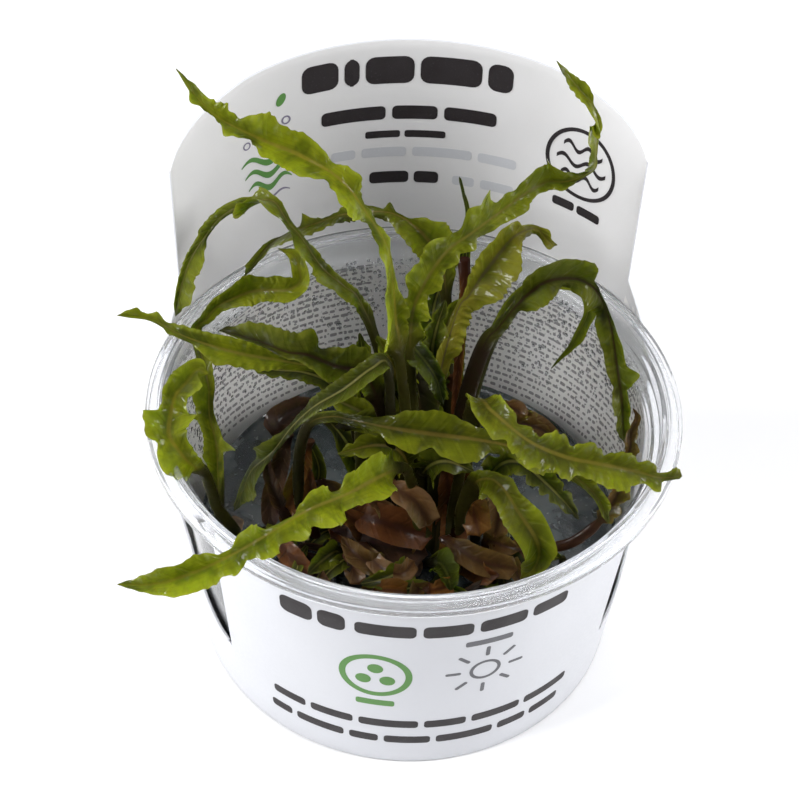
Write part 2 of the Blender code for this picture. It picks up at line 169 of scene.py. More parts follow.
def mixColours(tree, share, first, second):
    return addNode(tree, "Mix", {0: share, 6: first, 7: second}, data_type="RGBA")[2]


def noiseNode(tree, place, scale, detail=3.0, roughness=0.55):
    values = {"Vector": place, "Scale": scale, "Detail": detail, "Roughness": roughness}
    return addNode(tree, "TexNoise", values)["Fac"]


def addBump(tree, shader, height, strength, distance):
    bump = addNode(tree, "Bump", {"Strength": strength, "Distance": distance, "Height": height})[0]
    feed(tree, shader, {"Normal": bump, "Coat Normal": bump})


# shared effects

def newGroup(name, colours, numbers, results):
    # an empty group with its inputs and outputs, and the object's own coordinates
    group = bpy.data.node_groups.new(name, "ShaderNodeTree")
    face = group.interface
    for socket in colours:
        face.new_socket(socket, in_out="INPUT", socket_type="NodeSocketColor")
    for socket, value in numbers.items():
        face.new_socket(socket, in_out="INPUT", socket_type="NodeSocketFloat").default_value = value
    for socket in results:
        kind = "NodeSocketColor" if socket == "Color" else "NodeSocketFloat"
        face.new_socket(socket, in_out="OUTPUT", socket_type=kind)
    place = addNode(group, "TexCoord", {})["Object"]
    return group, group.nodes.new("NodeGroupInput").outputs, group.nodes.new("NodeGroupOutput"), place


def makeWetGrain():
    # soft patches and fine grain for wet and fibrous surfaces
    numbers = {"Patch scale": 60.0, "Grain scale": 900.0, "Grain share": 0.3}
    group, given, leave, place = newGroup("wetGrain", (), numbers, ("Patch", "Grain", "Height"))
    patch = noiseNode(group, place, given["Patch scale"], 3.0, 0.5)
    grain = noiseNode(group, place, given["Grain scale"], 2.0, 0.5)
    height = mathNode(group, "ADD", patch, times(group, grain, given["Grain share"]))
    feed(group, leave, {"Patch": patch, "Grain": grain, "Height": height})
    return group


def makeLeafMarks():
    # midrib, side veins, pale margins and stalk colour, from the leaf's own UV map and tone attribute, with
    # painted highlight on lit margins and raised lobes and painted shade in hollows, folds and the midrib's
    # groove
    group, given, leave, place = newGroup(
        "leafMarks", ("Blade", "Shade", "Margin", "Rib", "Stalk", "Spot"),
        {"Vein strength": 0.35, "Spot share": 0.1, "Gloss": 0.3, "Groove shade": 0.4},
        ("Color", "Roughness", "Wet", "Height"))
    tone = addNode(group, "Attribute", {}, attribute_name="leafTone")
    blade, across, crest = addNode(group, "SeparateColor", {0: tone["Color"]})
    sheet = addNode(group, "UVMap", {}, uv_map="UVMap")[0]
    run = addNode(group, "SeparateXYZ", {0: sheet})["Y"]          # centimetres along the midrib
    patches = noiseNode(group, place, 95.0, 4.0, 0.6)
    fine = noiseNode(group, place, 650.0, 3.0, 0.6)

    # side veins lean towards the tip on both sides of the midrib
    turns = mathNode(group, "SUBTRACT", times(group, run, 21.0), times(group, across, 5.5))
    wave = mathNode(group, "SINE", mathNode(group, "ADD", turns, times(group, patches, 1.4)))
    body = times(group, rangeNode(group, across, 0.1, 0.25), blade)
    vein = times(group, rangeNode(group, wave, 0.55, 1.0), body)
    # fine lines run along the blade beside the midrib
    streak = mathNode(group, "SINE", times(group, across, 30.0))
    margin = times(group, rangeNode(group, across, 0.55, 1.0, 0.0, 0.75), blade)
    # painted highlight: the margin colour laid on lobes that rise out of the blade; the pale margins are
    # partly the leaf's own colour and partly painted light on lit edges
    paintedLobeHighlight = times(group, rangeNode(group, crest, 0.5, 1.0, 0.0, 0.7), blade)
    # painted shade in the groove along both sides of the midrib
    groove = times(group, rangeNode(group, across, 0.12, 0.34, 1.0, 0.0), blade)
    ribEdge = rangeNode(group, across, 0.04, 0.18, 1.0, 0.0)
    ribFade = rangeNode(group, tone["Alpha"], 0.75, 1.0, 0.85, 0.35)
    speck = rangeNode(group, noiseNode(group, place, 210.0, 2.0, 0.7), 0.6, 0.78)
    # painted shade in small folds of the blade
    folds = noiseNode(group, place, 270.0, 2.0, 0.5)

    # each layer's share and its colour, laid over the blade's own colour: the broad patches, folds, hollows
    # and groove lay painted shade, the lit margins and raised lobes a painted highlight
    colour = given["Blade"]
    for share, tint in (
            # painted shade in broad patches
            (rangeNode(group, patches, 0.42, 0.68, 0.0, 0.85), given["Shade"]),
            (rangeNode(group, folds, 0.48, 0.66, 0.0, 0.6), given["Shade"]),
            (times(group, vein, given["Vein strength"]), given["Margin"]),
            (rangeNode(group, streak, 0.2, 1.0, 0.0, 0.16), given["Shade"]),
            (mathNode(group, "MAXIMUM", margin, paintedLobeHighlight), given["Margin"]),
            # painted shade in the hollows between the lobes
            (times(group, rangeNode(group, crest, 0.05, 0.5, 0.85, 0.0), blade), given["Shade"]),
            (times(group, groove, given["Groove shade"]), given["Shade"]),
            (times(group, ribEdge, ribFade), given["Rib"]),
            (times(group, speck, given["Spot share"]), given["Spot"]),
            (mathNode(group, "SUBTRACT", 1.0, blade, clamp=True),
             mixColours(group, times(group, fine, 0.6), given["Stalk"], given["Shade"])),
            (rangeNode(group, fine, 0.3, 0.7, 0.0, 0.22), given["Shade"])):
        colour = mixColours(group, share, colour, tint)

    # films of water lie in patches, most of them towards the margins
    film = rangeNode(group, noiseNode(group, place, 520.0, 2.0, 0.6), 0.53, 0.6)
    outer = rangeNode(group, across, 0.3, 0.95, 0.35, 1.0)
    height = mathNode(group, "SUBTRACT", times(group, patches, 0.8), times(group, vein, 0.18))
    feed(group, leave, {
        "Color": colour,
        "Roughness": mathNode(group, "ADD", given["Gloss"], times(group, fine, 0.22)),
        "Wet": times(group, film, outer),
        "Height": mathNode(group, "ADD", height, times(group, fine, 0.25))})
    return group


def makeInkWear():
    # tiny pinholes and a soft edge to the print's colour
    group, given, leave, place = newGroup("inkWear", ("Ink", "Worn"), {"Wear": 0.2}, ("Color", "Roughness"))
    broad = noiseNode(group, place, 260.0, 3.0)
    fine = noiseNode(group, place, 2600.0, 2.0)
    holes = times(group, rangeNode(group, fine, 0.6, 0.75), given["Wear"])
    share = mathNode(group, "ADD", holes, times(group, broad, 0.12), clamp=True)
    feed(group, leave, {"Color": mixColours(group, share, given["Ink"], given["Worn"]),
                        "Roughness": rangeNode(group, broad, 0.3, 0.7, 0.42, 0.58)})
    return group


wetGrain = makeWetGrain()
leafMarks = makeLeafMarks()
inkWear = makeInkWear()


# materials of everything but the leaves and the print

# grain: patch scale, grain scale and share of the grain; rough: what it follows, and its range
# tints: two colours mixed by the patches; bump: strength and depth; values: other inputs of the shader
cupGrain = dict(grain=(45, 700, 0.2))
cardFinish = dict(grain=(22, 1500, 0.5), rough=("Grain", 0.3, 0.7, 0.36, 0.5), bump=(0.12, 0.0002))
surfaces = {
    "clearPlastic": dict(
        cupGrain, rough=("Patch", 0.35, 0.7, 0.0, 0.03), bump=(0.05, 0.0004),
        values={"Base Color": (1, 1, 1, 1), "IOR": 1.18, "Transmission Weight": 1.0}),
    # milky share partly the plastic's own, partly a painted white reflection
    "milkySheenRim": dict(
        cupGrain, rough=("Patch", 0.35, 0.7, 0.02, 0.06),
        values={"Base Color": (0.95, 0.96, 0.98, 1), "IOR": 1.3, "Transmission Weight": 0.88}),
    "clearStep": dict(
        cupGrain, rough=("Patch", 0.35, 0.7, 0.01, 0.04),
        values={"Base Color": (0.93, 0.945, 0.97, 1), "IOR": 1.25, "Transmission Weight": 0.9}),
    "wetGel": dict(
        grain=(130, 800, 0.35), rough=("Grain", 0.3, 0.7, 0.1, 0.28), bump=(0.2, 0.0005),
        # the near-black tints are partly the gel's own colour and partly painted shade at the bottom of the
        # deep cup
        tints=((0.019, 0.026, 0.028, 1), (0.052, 0.064, 0.064, 1), 0.42, 0.7),
        values={"IOR": 1.34, "Transmission Weight": 0.15, "Coat Weight": 0.8, "Coat Roughness": 0.05}),
    # one white card in three copies: the coated outer face darkened, painted shade against the strong light
    # on it; the inner face brightened below the flange, painted light for light the clear wall holds back;
    # greyer on the tab, painted shade
    "coatedCard": dict(
        cardFinish, tints=((0.62, 0.63, 0.665, 1), (0.57, 0.58, 0.61, 1), 0.35, 0.7, 0.0, 0.7),
        values={"Coat Weight": 0.25, "Coat Roughness": 0.2, "IOR": 1.45}),
    "plainCardLit": dict(
        cardFinish, tints=((0.93, 0.915, 0.89, 1), (0.87, 0.855, 0.83, 1), 0.35, 0.7, 0.0, 0.7),
        values={"Coat Weight": 0.0, "Coat Roughness": 0.2, "IOR": 1.45}),
    "tabCardShaded": dict(
        cardFinish, tints=((0.76, 0.755, 0.76, 1), (0.69, 0.685, 0.685, 1), 0.35, 0.7, 0.0, 0.7),
        values={"Coat Weight": 0.1, "Coat Roughness": 0.2, "IOR": 1.45}),
    "waterDrops": dict(
        grain=(300, 2500, 0.2), rough=("Patch", 0.3, 0.7, 0.0, 0.06),
        values={"Base Color": (0.85, 0.86, 0.88, 1), "IOR": 1.33, "Transmission Weight": 1.0}),
    "crownBrown": dict(
        grain=(320, 1600, 0.5), rough=("Grain", 0.3, 0.7, 0.35, 0.65), bump=(0.6, 0.0005),
        tints=((0.075, 0.04, 0.02, 1), (0.2, 0.12, 0.06, 1), 0.4, 0.7), values={}),
}


def makeSurface(name, grain, rough, values, tints=None, bump=None):
    material, tree, shader = newMaterial(name)
    scales = dict(zip(("Patch scale", "Grain scale", "Grain share"), grain))
    marks = addNode(tree, "Group", scales, node_tree=wetGrain)
    feed(tree, shader, values)
    feed(tree, shader, {"Roughness": rangeNode(tree, marks[rough[0]], *rough[1:])})
    if tints:
        share = rangeNode(tree, marks["Patch"], *tints[2:])
        feed(tree, shader, {"Base Color": mixColours(tree, share, *tints[:2])})
    if bump:
        addBump(tree, shader, marks["Height"], *bump)
    return material


materials = {name: makeSurface(name, **look) for name, look in surfaces.items()}
print("shared materials made")


# turned pieces: a ring is drawn out from one (radius, height) to the next

def turnPiece(profile, sides):
    radius, height = profile[0]
    bpy.ops.mesh.primitive_circle_add(vertices=sides, radius=radius * mm, location=(0, 0, height * mm))
    piece = bpy.context.object

    def drawRings():
        for (oldRadius, oldHeight), (radius, height) in zip(profile, profile[1:]):
            bpy.ops.mesh.extrude_edges_move(
                TRANSFORM_OT_translate={"value": (0, 0, (height - oldHeight) * mm)})
            grow = radius / oldRadius
            bpy.ops.transform.resize(value=(grow, grow, 1), center_override=(0, 0, height * mm))
        bpy.ops.mesh.select_all(action="SELECT")

    editMesh(piece, drawRings, fillEnds, faceOut)
    settle(piece)
    keepOutside(piece)
    return piece


cupShape = {
    "sides": 144,
    "height": 58.5,
    "base": 41.6,          # radius of the wall at the base and at the lid step
    "wallTop": 45.7,
    "stepBottom": 54.0,
    "wall": 0.8,
    "gelTop": 22.4,
}


def wallRadius(z):
    return cupShape["base"] + (cupShape["wallTop"] - cupShape["base"]) * z / cupShape["stepBottom"]


def makeCup():
    # underside, wall, lid step, flange with its skirt, then back down inside to the floor
    outside = [(4, 0.5), (36.5, 0.5), (37.2, 0.4), (37.6, 0.1), (38, 0), (40.2, 0), (41, 0.2),
               (41.5, 0.6), (41.68, 1.2)]
    outside += [(wallRadius(z), z) for z in (8, 16, 24, 32, 40, 48, 52)]
    outside += [(45.7, 53.2), (46.1, 53.5), (46.9, 53.7), (47.3, 53.95), (47.4, 54.4), (47.4, 57.2),
                (47.6, 57.55), (49.2, 57.6), (49.6, 57.4), (49.7, 56.7), (49.85, 56.5), (50.3, 56.5),
                (50.45, 56.7), (50.5, 57.8), (50.42, 58.2), (50.2, 58.42), (49.9, 58.5)]
    top = [(48.55, 58.5), (48.35, 58.42), (48.2, 58.0), (47.95, 58.0), (47.8, 58.42), (47.6, 58.5),
           (47.15, 58.5), (46.85, 58.38), (46.65, 58.05)]
    inside = [(46.58, 57.0), (46.62, 56.8), (46.55, 56.6), (46.45, 55.4), (46.3, 55.1), (45.9, 54.95),
              (45.75, 54.7), (45.55, 54.65), (45.2, 54.6), (44.98, 54.3), (44.9, 53.8), (44.8, 52.9),
              (44.72, 52.75), (44.78, 52.6)]
    inside += [(wallRadius(z) - cupShape["wall"], z) for z in (51, 46, 38, 30, 22, 14, 8, 4)]
    inside += [(40.8, 2.6), (40.4, 1.8), (39.8, 1.35), (39, 1.2), (4, 1.2)]
    cup = turnPiece(outside + top + inside, cupShape["sides"])
    finish(cup, "cup_clear_shell", materials["clearPlastic"], ["cup"], 50)
    for name in ("milkySheenRim", "clearStep"):
        cup.data.materials.append(materials[name])
    # the flange is milky but for the groove in its top, and the lid step less so; the milky white is partly
    # the plastic's own and partly a painted reflection, and the clear groove shows a painted shade line
    middle = np.empty(len(cup.data.polygons) * 3)
    cup.data.polygons.foreach_get("center", middle)
    x, y, z = middle.reshape(-1, 3).T / mm
    away = np.hypot(x, y)
    groove = (away > 47.9) & (away < 48.3) & (z > 57.9) & (z < 58.3)
    flange = (z > 56.4) & (away > 46.9) & ~groove
    step = (z > 52.5) & ~flange
    cup.data.polygons.foreach_set("material_index", flange * 1 + step * 2)


makeCup()
print("cup turned")

gelShape = {
    "sides": 96,
    "ripple": 0.22,        # millimetres
    "mound": 0.45,         # rise round each crown
    "flat": 40.5,          # radius inside the raised edge
}

# centre, radius, depth of each rootstock
crowns = {
    "crown_centre_left": ((-4, -2), 6.2, 8),
    "crown_centre_right": ((8, -3), 6.2, 8),
    "crown_front": ((0, -12), 3.6, 6),
    "crown_left": ((-20, -3), 4.2, 7),
    "crown_left_edge": ((-36, 0), 3.4, 6),
    "crown_right": ((22, -9), 3.6, 6),
}


def makeGel():
    top = cupShape["gelTop"]
    profile = [(4, 1.5), (38.6, 1.5), (39.6, 1.8), (40.2, 2.6)]
    profile += [(wallRadius(z) - 1.12, z) for z in (5, 10, 16, 21, 22.6)]
    profile += [(42.15, 23.2), (42.0, 23.15), (41.7, 22.8), (41.2, 22.52), (40.2, top)]
    profile += [(r, top) for r in np.arange(39, 3, -1.2)]
    gel = turnPiece(profile, gelShape["sides"])
    points = readPoints(gel) / mm
    for i, (x, y, z) in enumerate(points):
        if z > top - 0.1 and math.hypot(x, y) < gelShape["flat"]:
            lift = gelShape["ripple"] * noise.noise((x / 7, y / 7, 3))
            lift += 0.3 * gelShape["ripple"] * noise.noise((x / 2.2, y / 2.2, 8))
            for (cx, cy), radius, _ in crowns.values():
                away = math.hypot(x - cx, y - cy) / (radius + 1.5)
                lift += gelShape["mound"] * math.exp(-away ** 4)
            points[i][2] += lift
    writePoints(gel, points * mm)
    finish(gel, "gel_body", materials["wetGel"], ["gel"], 50)


makeGel()
print("gel poured")


# card sleeve

sleeveShape = {
    "gap": 0.45,
    "card": 0.45,
    "panelTop": 53.2,
    "panelHalfAngle": 55.5,
    "bottom": 0.3,
    "notch": 16.0,         # height of the openings' lower edge
    "shoulder": 64.0,      # where the wings end and the tab begins
    "tabRadius": 50.9,
    "flareEnd": 50.0,
    # top edge of the wings: degrees from the front, height
    "wingEdge": [(57, 16.6), (61, 17.4), (67, 20.2), (75, 26.5), (85, 34), (95, 42), (105, 50),
                 (113, 57), (120, 64)],
    # top edge of the tab: degrees from the back, height above the flange
    "tabEdge": [(0, 45.2), (8, 45.1), (22, 44.6), (35, 43.6), (44, 41.8), (50, 40.6), (55, 38.6),
                (58, 36.8), (60, 34.6)],
}


def cardRadius(z, fromFront):
    onWall = wallRadius(z) + sleeveShape["gap"]
    spread = ease((fromFront - 75) / 40)
    flare = 1 - np.maximum(0.0, 1 - z / sleeveShape["flareEnd"]) ** 2
    return onWall + (sleeveShape["tabRadius"] - onWall) * flare * spread


def edgeHeight(table, at):
    # smooth curve through the table's rows
    rows = [(2 * table[0][0] - table[1][0], table[0][1])] + list(table)
    rows.append((2 * table[-1][0] - table[-2][0], 2 * table[-1][1] - table[-2][1]))
    for before, low, high, after in zip(rows, rows[1:], rows[2:], rows[3:]):
        if at <= high[0] or high is rows[-2]:
            span, rise = high[0] - low[0], high[1] - low[1]
            t = (at - low[0]) / span
            leave = (high[1] - before[1]) / (high[0] - before[0]) * span
            meet = (after[1] - low[1]) / (after[0] - low[0]) * span
            return (low[1] + t * leave + t * t * (3 * rise - 2 * leave - meet)
                    + t ** 3 * (leave + meet - 2 * rise))


def cardGrid(angles, lowEdge, highEdge, rows):
    # a flat grid, wrapped round the cup between two heights, each one number or a function of the angle
    bpy.ops.mesh.primitive_grid_add(x_subdivisions=len(angles) - 1, y_subdivisions=rows, size=2)
    sheet = bpy.context.object
    points = readPoints(sheet)
    column = np.rint((points[:, 0] + 1) / 2 * (len(angles) - 1)).astype(int)
    row = np.rint((points[:, 1] + 1) / 2 * rows) / rows
    turn = np.array(angles)[column]
    low, high = [np.array([edge(a) if callable(edge) else edge for a in angles])[column]
                 for edge in (lowEdge, highEdge)]
    z = low + (high - low) * row
    radius = cardRadius(z, np.abs(turn))
    turn = np.radians(turn)
    writePoints(sheet, np.stack([radius * np.sin(turn), -radius * np.cos(turn), z], 1) * mm)
    return sheet


def angleRun(*stops):
    # angles between the stops in steps of about 1.5 degrees
    angles = [stops[0]]
    for low, high in zip(stops, stops[1:]):
        count = max(1, round((high - low) / 1.5))
        angles += [low + (high - low) * (i + 1) / count for i in range(count)]
    return angles


def makeSleeve():
    half, wingEnd = sleeveShape["panelHalfAngle"], sleeveShape["wingEdge"][-1][0]
    notch, shoulder = sleeveShape["notch"], sleeveShape["shoulder"]
    crest = lambda a: cupShape["height"] + edgeHeight(sleeveShape["tabEdge"], 180 - abs(a))
    wingTop = lambda a: edgeHeight(sleeveShape["wingEdge"], abs(a)) if abs(a) < wingEnd else shoulder
    right, back = angleRun(57, 61, 67, wingEnd), angleRun(wingEnd, 180)
    left, backLeft = [-a for a in reversed(right)], [-a for a in reversed(back)]
    panel = angleRun(-half, half)
    sleeve = joined([
        cardGrid(backLeft + left[1:] + panel + right + back[1:], sleeveShape["bottom"], notch, 8),
        cardGrid(panel, notch, sleeveShape["panelTop"], 20),
        cardGrid(right + back[1:], notch, wingTop, 24),
        cardGrid(backLeft + left[1:], notch, wingTop, 24),
        cardGrid(back, shoulder, crest, 18),
        cardGrid(backLeft, shoulder, crest, 18),
    ])
    editMesh(sleeve, weld(0.00002), faceOut)
    settle(sleeve)
    first = sleeve.data.polygons[0]
    if first.normal.dot(Vector((*first.center.xy, 0))) < 0:
        editMesh(sleeve, bpy.ops.mesh.flip_normals)
    applyModifier(sleeve, "SOLIDIFY", thickness=sleeveShape["card"] * mm, offset=1)
    applyModifier(sleeve, "BEVEL", width=0.08 * mm, segments=2, limit_method="ANGLE",
                  angle_limit=math.radians(50))
    finish(sleeve, "card_sleeve", materials["coatedCard"], ["label_sleeve"], 30)
    for name in ("plainCardLit", "tabCardShaded"):
        sleeve.data.materials.append(materials[name])
    # faces that look inwards are uncoated below the flange and take the brightened card, painted light;
    # above it, on the tab, they take the greyer card, painted shade
    inwards = -20 * mm
    for face in sleeve.data.polygons:
        if face.normal.xy.dot(face.center.xy) < inwards:
            face.material_index = 2 if face.center.z > cupShape["height"] * mm else 1


makeSleeve()
print("sleeve wrapped")


# leaves

leafShape = {
    "stretch": 4.0,        # millimetres from one section to the next, before they are divided
    "ruffleHeight": 0.26,
    "frillHeight": 0.24,
    "frillTeeth": 0.07,
    "keel": 0.36,
    "stalkWidth": 1.2,
    "stalkDepth": 0.6,
    "blade": 0.13,         # half thickness of the blade
    "rib": 0.3,
    "rooted": 1.6,         # how far a stalk reaches down into its crown
}


def leaf(wide, stalk, look, route, ruffle=1.0, pitch=3.1, roll=(0, 0), above=(), beneath=()):
    # widest blade, share of the length that is stalk, colour, way points, strength of the ruffle and
    # half its wave, roll in degrees at even steps; above and beneath are the margins of a leaf that
    # is seen well: millimetres along it, and out from the midrib
    return dict(wide=wide, stalk=stalk, look=look, route=route, ruffle=ruffle, pitch=pitch, roll=roll,
                above=above, beneath=beneath)


def oldLeaf(wide, look, route, stalk=0.2):
    return leaf(wide, stalk, look, route, ruffle=0.2, pitch=4)


